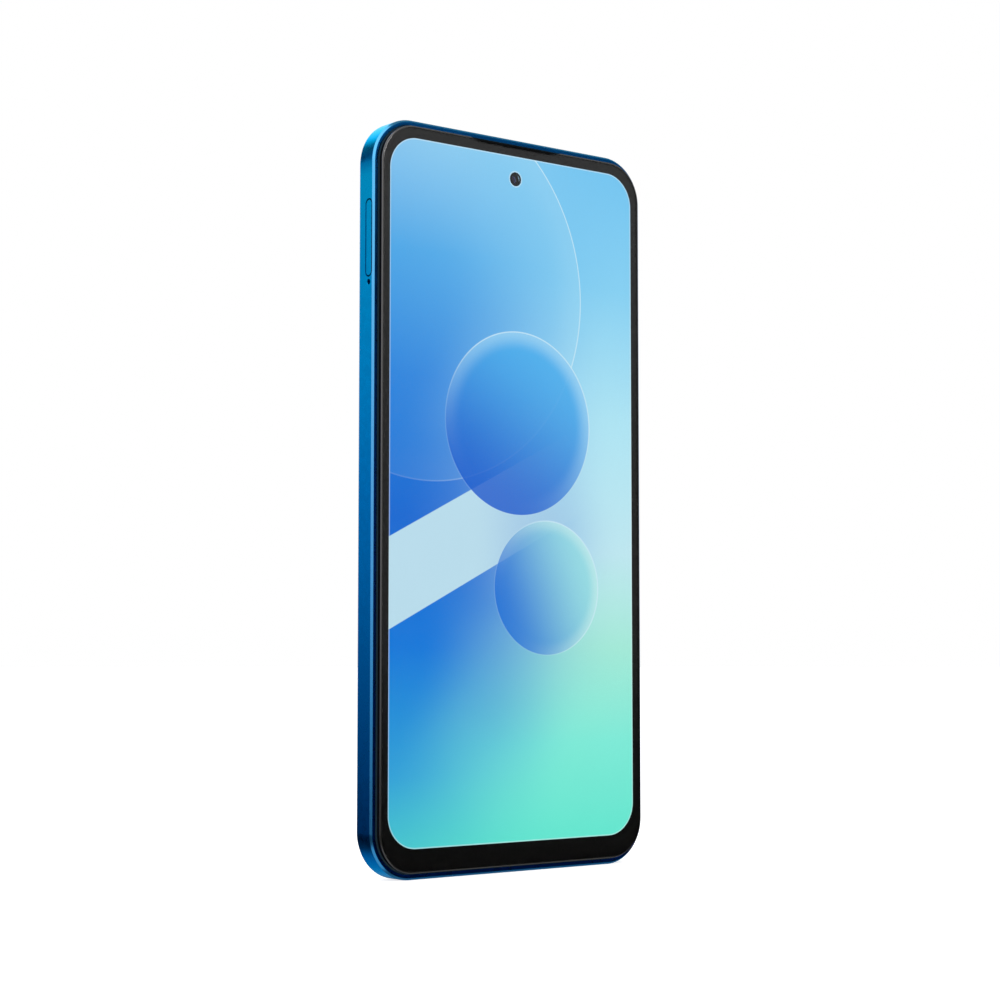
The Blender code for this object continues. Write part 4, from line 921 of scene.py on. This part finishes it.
def perforated(name, columns, rows, a_range, b_range, low, high, axis, hole_share, material):
    """A thin sheet with a grid of round holes."""
    sides = 8
    bm = bmesh.new()
    pitch_a = (a_range[1] - a_range[0]) / columns
    pitch_b = (b_range[1] - b_range[0]) / rows
    radius = min(pitch_a, pitch_b) / 2 * hole_share
    square = [(1, 0), (1, 1), (0, 1), (-1, 1), (-1, 0), (-1, -1), (0, -1), (1, -1)]
    for column in range(columns):
        for row in range(rows):
            a = a_range[0] + pitch_a * (column + 0.5)
            b = b_range[0] + pitch_b * (row + 0.5)
            outer = [(a + u * pitch_a / 2, b + v * pitch_b / 2) for u, v in square]
            inner = circle(a, b, radius, sides)
            loops = []
            for outline, height in ((outer, low), (inner, low), (inner, high), (outer, high)):
                loops.append([bm.verts.new(p) for p in placed(outline, height, axis)])
            for first, second in zip(loops, loops[1:]):
                for k in range(sides):
                    n = (k + 1) % sides
                    bm.faces.new((first[k], first[n], second[n], second[k]))
    bmesh.ops.remove_doubles(bm, verts=bm.verts, dist=0.001)
    bmesh.ops.bridge_loops(bm, edges=[edge for edge in bm.edges if edge.is_boundary])
    return solid(name, bm, material)


def make_earpiece(m):
    low, high = EARPIECE_LOW, EARPIECE_HIGH
    spans = ((low.x, high.x), (low.z, high.z))
    thin = (low.y, low.y + 0.12)
    sheet = perforated("earpiece_grille", 78, 2, *spans, *thin, "y", 0.66, m["seat_black"])
    fitted(sheet, "black_mesh", "earpiece_mesh")


def make_front_camera(m):
    """A square housing with a stepped barrel, and the camera's own front lens in it."""
    half = CAMERA_HIGH.x
    outline = box_at(-half, half, CAMERA_LOW.z, CAMERA_HIGH.z, 0.5, 5)
    black = m["camera_black"]
    housing = slab("front_camera_housing", outline, -1.55, CAMERA_HIGH.y, "y", 0.15, black)
    tip = CAMERA_LOW.y
    profile = [
        (1.9, -1.3), (1.9, tip + 0.15), (1.8, tip + 0.03), (1.7, tip), (1.42, tip),
        (1.36, tip + 0.06), (1.34, tip + 0.25), (1.12, tip + 0.28), (1.06, tip + 0.34),
        (0.8, tip + 0.75),
    ]
    join(housing, turned("barrel", 0, CAMERA_Z, profile, "y", black))
    fitted(housing, "camera_black", "front_camera")
    dome = [(0.98, tip + 0.42), (0.98, tip + 0.3)]
    for angle in (0.0, 0.35, 0.7, 1.05, 1.35, 1.5):
        dome.append((0.94 * math.cos(angle), tip + 0.26 - 0.2 * math.sin(angle)))
    lens = turned("front_camera_lens", 0, CAMERA_Z, dome, "y", m["coated_lens"], segments=48)
    fitted(lens, "camera_glass")


# ---- Frame and its left side -----------------------------------------------------------------
def frame_cutters():
    """Cutters for the tray and its eject hole, the two keys, and the openings of the bottom edge."""
    depth = FRAME_WALL + PAST
    tray = slot_at(TRAY_Y, TRAY_Z, TRAY_HEIGHT + 2 * SEEN_GAP, TRAY_LENGTH + 2 * SEEN_GAP)
    made = [
        cutter(tray, "x", -HALF_WIDTH, depth, 0.1),
        cutter(slot_at(TRAY_Y, EJECT_Z, EJECT_HOLE, EJECT_HOLE), "x", -HALF_WIDTH, depth, 0.09),
    ]
    for low, high in ((POWER_LOW, POWER_HIGH), (VOLUME_LOW, VOLUME_HIGH)):
        length = high.z - low.z - 2 * FLANGE_OVERHANG + 3 * FIT
        key = slot_at(KEY_Y, middle(low.z, high.z), KEY_HEIGHT + 3 * FIT, length)
        made.append(cutter(key, "x", HALF_WIDTH, -depth))
    made += [
        cutter(slot_at(0, 0, *USB_MOUTH), "z", 0.0, depth, 0.15),
        cutter(slot_at(JACK_X, 0, JACK_MOUTH, JACK_MOUTH), "z", 0.0, depth, 0.15),
        cutter(slot_at(MICROPHONE_X, 0, MICROPHONE_HOLE, MICROPHONE_HOLE), "z", 0.0, depth),
    ]
    pitch = (GRILLE_HIGH.x - GRILLE_LOW.x) / GRILLE_SLOTS
    for k in range(GRILLE_SLOTS):
        x = GRILLE_LOW.x + pitch * (k + 0.5)
        made.append(cutter(slot_at(x, 0, *GRILLE_SLOT), "z", 0.0, depth))
    return made


def make_side_frame(m):
    """The band, polished on its front chamfer. Its rim and the walls round the tray take a darker copy of
    its blue, as painted shade.
    """
    profile = [
        (RIM_CHAMFER, RIM_Y), (0.0, RIM_Y + RIM_CHAMFER), (0.0, SEAM_Y - REAR_CHAMFER),
        (REAR_CHAMFER, SEAM_Y), (FRAME_WALL, SEAM_Y), (FRAME_WALL, RIM_Y),
    ]
    band = rail("frame_band", eased(profile, 0.05), m["blue_metal"])
    band.data.materials.append(m["blue_edge"])
    band.data.materials.append(m["blue_rim"])
    cut(band, *frame_cutters())
    tray_low, tray_high = (TRAY_LOW.z - 1.0) * MM, (TRAY_HIGH.z + 1.0) * MM
    for face in band.data.polygons:
        beside_tray = face.center.x < 0 and tray_low < face.center.z < tray_high
        # The chamfer takes the polished edge. The flat front face and the walls round the tray take the
        # darker blue of painted shade.
        if face.center.y < (RIM_Y + RIM_CHAMFER) * MM and face.normal.y < -0.35:
            face.material_index = 1 if face.normal.y > -0.9 else 2
        elif beside_tray and abs(face.normal.x) < 0.95:
            face.material_index = 2
    fitted(band, "blue_metal", "side_frame")


def make_tray_head(m):
    """The head, flush with the frame. Its walls take a darker copy of the blue, as painted shade in the
    gap.
    """
    outline = slot_at(TRAY_Y, TRAY_Z, TRAY_HEIGHT, TRAY_LENGTH)
    inner = -HALF_WIDTH + FRAME_WALL - 0.05
    head = slab("tray_head", outline, -HALF_WIDTH, inner, "x", 0.08, m["blue_metal"])
    head.data.materials.append(m["blue_rim"])
    # The walls take the darker blue of painted shade.
    for face in head.data.polygons:
        if abs(face.normal.x) < 0.95:
            face.material_index = 1
    fitted(head, "blue_metal", body="sim_tray")


def make_tray_blade(m):
    """The blade, with pockets for two SIM cards and a memory card, each over a window."""
    low, high = TRAY_Y - 0.15, TRAY_Y + 0.5
    z0, z1 = TRAY_LOW.z + 1.0, TRAY_HIGH.z - 1.0
    outline = box_at(-HALF_WIDTH + FRAME_WALL - 0.1, TRAY_HIGH.x, z0, z1, 0.5, 5)
    blade = slab("tray_blade", outline, low, high, "y", 0.05, m["blue_metal"], 2)
    ledge, notch = 0.8, 1.6
    cutters = []
    for a0, length, width in ((-35.6, 9.0, 12.5), (-25.6, 9.0, 12.5), (-15.6, 15.2, 11.2)):
        a1 = a0 + length
        b0, b1 = TRAY_Z - width / 2, TRAY_Z + width / 2
        pocket = [(a1, b1), (a0 + notch, b1), (a0, b1 - notch), (a0, b0), (a1, b0)]
        window = rounded(a0 + ledge, a1 - ledge, b0 + ledge, b1 - ledge, 0.6, steps=4)
        cutters.append(prism(pocket, TRAY_Y + 0.1, high + PAST, "y"))
        cutters.append(prism(window, low - PAST, high + PAST, "y"))
    cut(blade, *cutters)
    bevel = blade.modifiers.new("edges", "BEVEL")
    bevel.width = 0.04 * MM
    bevel.segments = 1
    bevel.limit_method = "ANGLE"
    bevel.angle_limit = math.radians(40)
    fitted(blade, "blue_metal", "sim_tray", body="sim_tray")


def make_tray_seal(m):
    """A rubber ring with a round outer side."""
    low, high = node_box("sim_tray_seal")
    middle_x, middle_y, middle_z = [middle(low[k], high[k]) for k in range(3)]
    half_x, half_y, half_z = [(high[k] - low[k]) / 2 for k in range(3)]
    wall, steps = 0.22, 8

    def seal_outline(inset):
        y, z = half_y - inset, half_z - inset
        return rounded(middle_y - y, middle_y + y, middle_z - z, middle_z + z, 0.02, steps=2)

    loops = []
    for k in range(steps + 1):
        angle = math.radians(-90 + 180 * k / steps)
        inset = wall * 0.6 * (1 - math.cos(angle))
        loops.append(placed(seal_outline(inset), middle_x + half_x * math.sin(angle), "x"))
    loops += [placed(seal_outline(wall), high.x, "x"), placed(seal_outline(wall), low.x, "x")]
    seal = loft("tray_seal", loops, m["rubber"], ring=True)
    fitted(seal, "rubber", "sim_tray_seal", body="sim_tray")


# ---- Keys ------------------------------------------------------------------------------------
def make_key(name, low, high, nub_offsets, m):
    """A key cap with a rounded face, its flange behind the wall and its nubs."""
    z = middle(low.z, high.z)
    length = high.z - low.z - 2 * FLANGE_OVERHANG
    inner, outer = 35.95, 36.55
    cap_outline = slot_at(KEY_Y, z, KEY_HEIGHT, length, 14)
    cap = slab(name, cap_outline, inner + 0.3, high.x, "x", 0.22, m["blue_metal"], 5)
    half_y, half_z = (high.y - low.y) / 2, (high.z - low.z) / 2
    outline = box_at(KEY_Y - half_y, KEY_Y + half_y, z - half_z, z + half_z, 0.5, 4)
    flange = slab("flange", outline, inner, outer, "x", 0.06, steps=2)
    tip = low.x
    profile = [(0.8, inner + 0.2), (0.8, tip + 0.2), (0.7, tip + 0.05), (0.6, tip)]
    nubs = [turned("nub", KEY_Y, z + offset, profile, "x", segments=24) for offset in nub_offsets]
    return join(cap, flange, *nubs)


def make_keys(m):
    power = make_key("power_key", POWER_LOW, POWER_HIGH, (0.0,), m)
    low, high = node_box("fingerprint_sensor")
    y, z = middle(low.y, high.y), middle(low.z, high.z)
    height, length = high.y - low.y, high.z - low.z
    recess = slot_at(y, z, height + 0.2, length + 0.2, 12)
    cut(power, cutter(recess, "x", POWER_HIGH.x, low.x - 0.05 - POWER_HIGH.x, 0.05))
    fitted(power, "blue_metal", "power_button", body="power_button")
    outline = slot_at(y, z, height, length, 12)
    sensor = slab("touch_sensor", outline, low.x, high.x, "x", 0.05, m["island"])
    fitted(sensor, "blue_metal", "fingerprint_sensor", body="power_button")
    rocker = make_key("volume_key", VOLUME_LOW, VOLUME_HIGH, (-6.5, 6.5), m)
    fitted(rocker, "blue_metal", "volume_rocker", body="volume_rocker")


# ---- Bottom edge -----------------------------------------------------------------------------
def make_usb(m):
    """The socket's drawn shell, and its tongue with two rows of contacts."""
    width, height = USB_HIGH.x - USB_LOW.x, USB_HIGH.y - USB_LOW.y
    low, high, wall = USB_LOW.z, USB_HIGH.z, 0.3
    profile = eased([(0.0, low), (0.0, high), (wall, high), (wall, low)], 0.1, 4)
    loops = [placed(slot(0, 0, width - 2 * i, height - 2 * i, 14), z, "z") for i, z in profile]
    shell = loft("socket_shell", loops, m["steel"], ring=True)
    fitted(shell, "steel", "usb_shell")
    low, high = node_box("usb_tongue")
    outline = slot_at(0, 0, 8.2, 2.4)
    base = slab("socket_tongue", outline, 6.0, high.z, "z", 0.08, m["black_plastic"])
    join(base, slab("blade", box_at(-3.3, 3.3, -0.35, 0.35, 0.12, 3), low.z, 6.5, "z", 0.11))
    fitted(base, "black_plastic", "usb_tongue")
    bm = bmesh.new()
    for side in (-1, 1):
        for k in range(12):
            x = (k - 5.5) * 0.5
            tip = low.z + (0.35 if k in (0, 3, 8, 11) else 0.6)
            strip = rounded(x - 0.13, x + 0.13, tip, 5.9, 0.05, steps=2)
            add_loft(bm, [placed(strip, side * 0.34, "y"), placed(strip, side * 0.375, "y")])
    contacts = solid("socket_contacts", bm, m["gold"])
    fitted(contacts, "steel")


def make_jack(m):
    """The headphone socket with a rounded mouth, and three spring contacts inside."""
    half_x, half_y = (JACK_HIGH.x - JACK_LOW.x) / 2, (JACK_HIGH.y - JACK_LOW.y) / 2
    outline = box_at(JACK_X - half_x, JACK_X + half_x, -half_y, half_y, 0.5)
    black = m["black_plastic"]
    body = slab("jack_housing", outline, JACK_LOW.z, JACK_HIGH.z, "z", 0.12, black)
    cut(body, cutter(circle_at(JACK_X, 0, 1.8), "z", JACK_LOW.z, 12.6, 0.12))
    fitted(body, "black_plastic", "headphone_jack")
    bm = bmesh.new()
    for z, turn in ((3.6, 90), (6.8, 210), (10.0, 330)):
        angle = math.radians(turn)
        across = Vector((-math.sin(angle), math.cos(angle), 0)) * 0.45
        outward = Vector((math.cos(angle), math.sin(angle), 0)) * 0.08
        rows = []
        for along, radius in ((-0.9, 1.79), (-0.4, 1.68), (0.0, 1.6), (0.4, 1.68), (0.9, 1.79)):
            x, y = JACK_X + radius * math.cos(angle), radius * math.sin(angle)
            here = Vector((x, y, z + along))
            inner = [here - across, here + across]
            rows.append(inner + [here + across + outward, here - across + outward])
        add_loft(bm, rows)
    springs = solid("jack_springs", bm, m["gold"])
    fitted(springs, "steel")


def make_grilles(m):
    low, high = GRILLE_LOW, GRILLE_HIGH
    spans = ((low.x, high.x), (low.y, high.y))
    black = m["black_mesh"]
    sheet = perforated("speaker_grille", 50, 9, *spans, low.z, high.z, "z", 0.6, black)
    fitted(sheet, "black_mesh", "speaker_mesh")
    half = 0.65
    spans = ((MICROPHONE_X - half, MICROPHONE_X + half), (-half, half))
    inner = (FRAME_WALL + FIT, FRAME_WALL + 2 * FIT)
    felt = perforated("microphone_grille", 6, 6, *spans, *inner, "z", 0.6, black)
    fitted(felt, "black_mesh")


# ---- Back ------------------------------------------------------------------------------------
def make_rear_cover(m):
    """The dished back with its round edges and its lip inside the frame."""
    edge_inset, edge_y, steps = 0.45, SEAM_Y + FIT, 14
    curve_width, curve_height = 2.15, BACK_Y - edge_y
    lip_inset, lip_wall, wall = 1.35, 0.8, 0.8
    profile = [
        (lip_inset + lip_wall, BACK_Y - wall), (lip_inset + lip_wall, COVER_LOW.y),
        (lip_inset, COVER_LOW.y), (lip_inset, edge_y),
    ]
    for k in range(steps + 1):
        angle = math.radians(90 * k / steps)
        inset = edge_inset + curve_width * (1 - math.cos(angle))
        profile.append((inset, edge_y + curve_height * math.sin(angle)))
    loops = [placed(body_outline(inset), y, "y") for inset, y in profile]
    cover = loft("back_cover", loops, m["blue_cover"])
    floor_y = ISLAND_LOW.y - 0.05
    seat = cutter(lambda grow: ISLAND_OUTLINE(FIT + grow), "y", BACK_Y, floor_y - BACK_Y, 0.05)
    windows = []
    for place, radius in zip(REAR_EYES, (LENS_WINDOW, LENS_WINDOW, FLASH_RADIUS + FIT)):
        windows.append(cutter(circle_at(*place, radius), "y", floor_y, -(wall + PAST), 0.04))
    notch = rounded(JACK_X - 3.2, JACK_X + 3.2, PAST, 3.5, 0.2, steps=2)
    cut(cover, seat, *windows, prism(notch, COVER_LOW.y - PAST, 2.3, "y"))
    fitted(cover, "blue_cover", "rear_cover")


def make_island(m):
    low, high = ISLAND_LOW.y, ISLAND_HIGH.y
    plate = slab("island_plate", ISLAND_OUTLINE, low, high, "y", 0.32, m["island"], 6)
    holes = []
    for place, radius in zip(REAR_EYES, (RING_RADIUS, RING_RADIUS, FLASH_RADIUS)):
        holes.append(cutter(circle_at(*place, radius + FIT, 96), "y", high, low - high - PAST, 0.06))
    cut(plate, *holes)
    fitted(plate, "blue_cover", "camera_island")


def make_lens_set(m, prefix, z, ring_low, ring_high, throat):
    """A turned ring, its window, and the black cone under it that hides the camera's housing."""
    glass_low, glass_high = node_box(f"{prefix}_lens_glass")
    radius = (glass_high.x - glass_low.x) / 2
    seat, inner, ledge = radius + 0.1, radius - 0.6, glass_low.y - 0.05
    profile = [
        (RING_RADIUS, ring_low.y), (RING_RADIUS, ring_high.y - 0.02),
        (RING_RADIUS - 0.02, ring_high.y), (seat + 0.5, ring_high.y), (seat, ring_high.y - 0.22),
        (seat, ledge), (inner, ledge), (inner, ring_low.y),
    ]
    profile = eased(profile, 0.13, 4)
    metal = m[f"{prefix}_ring"]
    ring = turned(f"{prefix}_bezel", LENS_X, z, profile, "y", metal, ring=True, segments=96)
    fitted(ring, "blue_metal", f"{prefix}_lens_ring")
    rim = 0.08
    profile = [
        (radius - rim, glass_low.y), (radius, glass_low.y + rim), (radius, glass_high.y - rim),
        (radius - rim, glass_high.y),
    ]
    window = turned(f"{prefix}_window", LENS_X, z, profile, "y", m["camera_glass"], segments=96)
    fitted(window, "camera_glass", f"{prefix}_lens_glass")
    wide, top, bottom, steps = inner - 0.05, ledge - 0.02, ring_low.y - 0.1, 5
    profile = [(inner - 0.02, bottom)]
    for k in range(steps):
        step_radius = wide - (wide - throat) * k / (steps - 1)
        step_top = top - (top - bottom) * k / steps
        profile += [(step_radius, step_top), (step_radius, step_top - (top - bottom) / steps)]
    cone = turned(f"{prefix}_cone", LENS_X, z, profile, "y", m["camera_black"], ring=True)
    fitted(cone, "camera_black")


def lens_barrel(name, z, tip, radius, eye, base, m):
    """A stepped barrel with a hollow at its tip."""
    profile = [
        (radius, base), (radius, tip - 0.3), (radius - 0.3, tip), (eye + 0.35, tip),
        (eye + 0.2, tip - 0.12), (eye + 0.05, tip - 0.14), (eye, tip - 0.35),
        (eye * 0.6, tip - 0.5),
    ]
    profile = eased(profile, 0.04, 2, closed=False)
    return turned(name, LENS_X, z, profile, "y", m["camera_black"])


def lens_dome(name, z, tip, eye, m, body="phone_body"):
    """The front lens, a shallow dome set in the barrel's hollow."""
    radius, edge, rise, steps = eye * 0.97, tip - 0.3, 0.22, 8
    profile = [(radius, tip - 0.46), (radius, edge)]
    for k in range(1, steps + 1):
        angle = math.radians(88 * k / steps)
        profile.append((radius * math.cos(angle), edge + rise * math.sin(angle)))
    dome = turned(name, LENS_X, z, profile, "y", m["coated_lens"])
    fitted(dome, "camera_glass", body=body)


def make_rear_cameras(m):
    """The main lens barrel, which moves to focus, and the fixed second camera."""
    tip = node_box("main_camera_lens")[1].y
    barrel = lens_barrel("main_barrel", MAIN_LENS_Z, tip, 3.2, 2.1, 0.0, m)
    fitted(barrel, "camera_black", "main_camera_lens", body="main_camera_lens")
    lens_dome("main_front_lens", MAIN_LENS_Z, tip, 2.1, m, "main_camera_lens")
    low, high = node_box("second_camera")
    half = (high.x - low.x) / 2
    outline = box_at(LENS_X - half, LENS_X + half, low.z, high.z, 0.4, 5)
    housing = slab("second_housing", outline, low.y, 2.6, "y", 0.12, m["camera_black"])
    join(housing, lens_barrel("second_barrel", SECOND_LENS_Z, high.y, 2.3, 1.45, 2.2, m))
    fitted(housing, "camera_black", "second_camera")
    lens_dome("second_front_lens", SECOND_LENS_Z, high.y, 1.45, m)


def make_flash(m):
    """The flash's cap, with the stepped rings of a Fresnel lens inside its rim."""
    radius, tip = FLASH_RADIUS, FLASH_HIGH.y
    profile = [(radius, FLASH_LOW.y), (radius, tip - 0.14)]
    profile += [(radius - 0.06, tip - 0.04), (radius - 0.14, tip)]
    pitch = 0.3
    groove = radius - pitch
    while groove > 0.35:
        profile += [(groove, tip), (groove - 0.02, tip - 0.11), (groove - pitch * 0.9, tip - 0.01)]
        groove -= pitch
    cap = turned("flash_cap", FLASH_X, FLASH_Z, profile, "y", m["flash_diffuser"], segments=72)
    fitted(cap, "flash_diffuser", "flash_lens", sharp=20)


# ---- Surroundings ----------------------------------------------------------------------------
def make_floor():
    """A wide pale sheet with a turned-down rim, hidden from the phone's reflections."""
    bm = bmesh.new()
    reach, rim = 6000.0, 8.0
    levels = ((reach, -12.0), (reach, -4.0), (reach - rim, 0.0))
    add_loft(bm, [placed(circle(0, 0, radius, 96), z, "z") for radius, z in levels])
    finish = Finish("studio_floor", {"Roughness": 0.9, "Specular IOR Level": 0.1})
    finish.colour(finish.noise(60.0, 3.0), (0.58, 0.58, 0.58), (0.62, 0.62, 0.62))
    finish.set("Emission Color", (1.0, 1.0, 1.0))
    finish.set("Emission Strength", 0.75)
    floor = solid("studio_floor", bm, finish.material)
    floor.visible_glossy = False
    floor.visible_transmission = False


def area_light(name, place, aim, size, power):
    """A soft square light at place, in millimetres, facing aim."""
    data = bpy.data.lights.new(name, "AREA")
    data.shape = "RECTANGLE"
    data.size = data.size_y = size * MM
    data.energy = power
    light = bpy.data.objects.new(name, data)
    light.location = Vector(place) * MM
    light.rotation_euler = (Vector(aim) - Vector(place)).to_track_quat("-Z", "Y").to_euler()
    light.visible_glossy = False
    bpy.context.scene.collection.objects.link(light)


def make_lights():
    centre = (0.0, 0.0, HEIGHT / 2)
    area_light("overhead", (0.0, -100.0, 900.0), centre, 1100.0, 5.0)
    area_light("front_fill", (-700.0, -500.0, 500.0), centre, 600.0, 2.5)


# What the phone reflects. Brightness of the surround on its bright and on its dark side, against
# the height of the direction, from -1 (down) to 1 (up).
BRIGHT_SIDE = (
    (-1.0, 0.18), (-0.14, 0.05), (-0.08, 0.12), (-0.04, 0.38), (0.03, 0.66), (0.27, 1.0),
    (0.8, 1.1),
)
DARK_SIDE = (
    (-1.0, 0.02), (-0.10, 0.012), (-0.03, 0.07), (0.0, 0.14), (0.12, 0.23), (0.26, 0.37),
    (0.7, 0.6),
)
# Soft panels in it: direction, cosines of where each is full and where it has faded, brightness.
SOFT_PANELS = (
    ((0.62, 0.20, 0.76), 0.80, 0.66, 0.26), ((0.26, 0.76, 0.59), 0.97, 0.90, 1.7),
    ((-0.44, 0.77, 0.47), 0.985, 0.945, 0.08), ((-0.50, 0.79, -0.35), 0.98, 0.93, 0.03),
    ((0.09, 0.79, -0.61), 0.95, 0.85, 0.95), ((0.62, 0.09, -0.78), 0.90, 0.75, 0.20),
    ((-0.47, -0.47, -0.74), 0.95, 0.87, 0.5), ((0.26, -0.89, 0.38), 0.998, 0.992, 6.0),
)


def make_world():
    """White behind the phone. What its surfaces reflect is a dimmer sky: graded from low to high,
    bright on the left and behind, and dark to the right in front, where the screen looks."""
    world = bpy.data.worlds.new("studio")
    world.use_nodes = True
    bpy.context.scene.world = world
    tree = Nodes(world.node_tree)
    generated = tree.node("ShaderNodeTexCoord").outputs["Generated"]
    x, y, z = axes = tree.axes(generated)

    def graded(value, stops):
        along = tree.span(value, -1.0, 1.0, smooth=False)
        greys = [((place + 1) / 2, (grey, grey, grey * 1.01)) for place, grey in stops]
        return tree.ramp(along, greys)

    toward = tree.minus(tree.times(x, 0.62), tree.times(y, 0.78))
    share = graded(toward, ((0.0, 0.0), (0.75, 1.0)))
    shade = tree.mix(share, graded(z, BRIGHT_SIDE), graded(z, DARK_SIDE))
    for direction, inner, outer, grey in SOFT_PANELS:
        along = [tree.times(axis, part) for axis, part in zip(axes, direction)]
        laid = tree.span(tree.plus(*along), outer, inner)
        shade = tree.mix(laid, shade, (grey, grey, grey))
    sky = tree.output("ShaderNodeBackground", {"Color": shade})
    seen = tree.nodes["Background"]
    tree.feed(seen.inputs["Color"], (1.0, 1.0, 1.0))
    camera_ray = tree.output("ShaderNodeLightPath", {}, "Is Camera Ray")
    choose = tree.output("ShaderNodeMixShader", {0: camera_ray, 1: sky, 2: seen.outputs[0]})
    tree.links.new(choose, tree.nodes["World Output"].inputs["Surface"])


def make_camera():
    """The camera stands to the phone's left, a little below its middle, and looks slightly up."""
    data = bpy.data.cameras.new("camera")
    data.sensor_width = 36.0
    data.lens = 75.898
    data.clip_start, data.clip_end = 0.01, 50.0
    camera = bpy.data.objects.new("camera", data)
    camera.location = Vector((-291.68, -368.45, 48.26)) * MM
    yaw, pitch = math.radians(38.226), math.radians(4.115)
    camera.rotation_euler = (math.radians(90) + pitch, 0.0, -yaw)
    bpy.context.scene.collection.objects.link(camera)
    bpy.context.scene.camera = camera


def main():
    bpy.context.scene.view_settings.view_transform = "Standard"
    m = make_finishes()
    dress_cad_nodes(m)
    make_cover_glass(m)
    make_border_print(m)
    make_display_panel(m)
    make_gasket(m)
    make_earpiece(m)
    make_front_camera(m)
    make_side_frame(m)
    make_tray_head(m)
    make_tray_blade(m)
    make_tray_seal(m)
    make_keys(m)
    make_usb(m)
    make_jack(m)
    make_grilles(m)
    make_rear_cover(m)
    make_island(m)
    make_lens_set(m, "main", MAIN_LENS_Z, MAIN_RING_LOW, MAIN_RING_HIGH, throat=3.45)
    make_lens_set(m, "second", SECOND_LENS_Z, SECOND_RING_LOW, SECOND_RING_HIGH, throat=2.5)
    make_rear_cameras(m)
    make_flash(m)
    make_floor()
    make_lights()
    make_world()
    make_camera()


main()
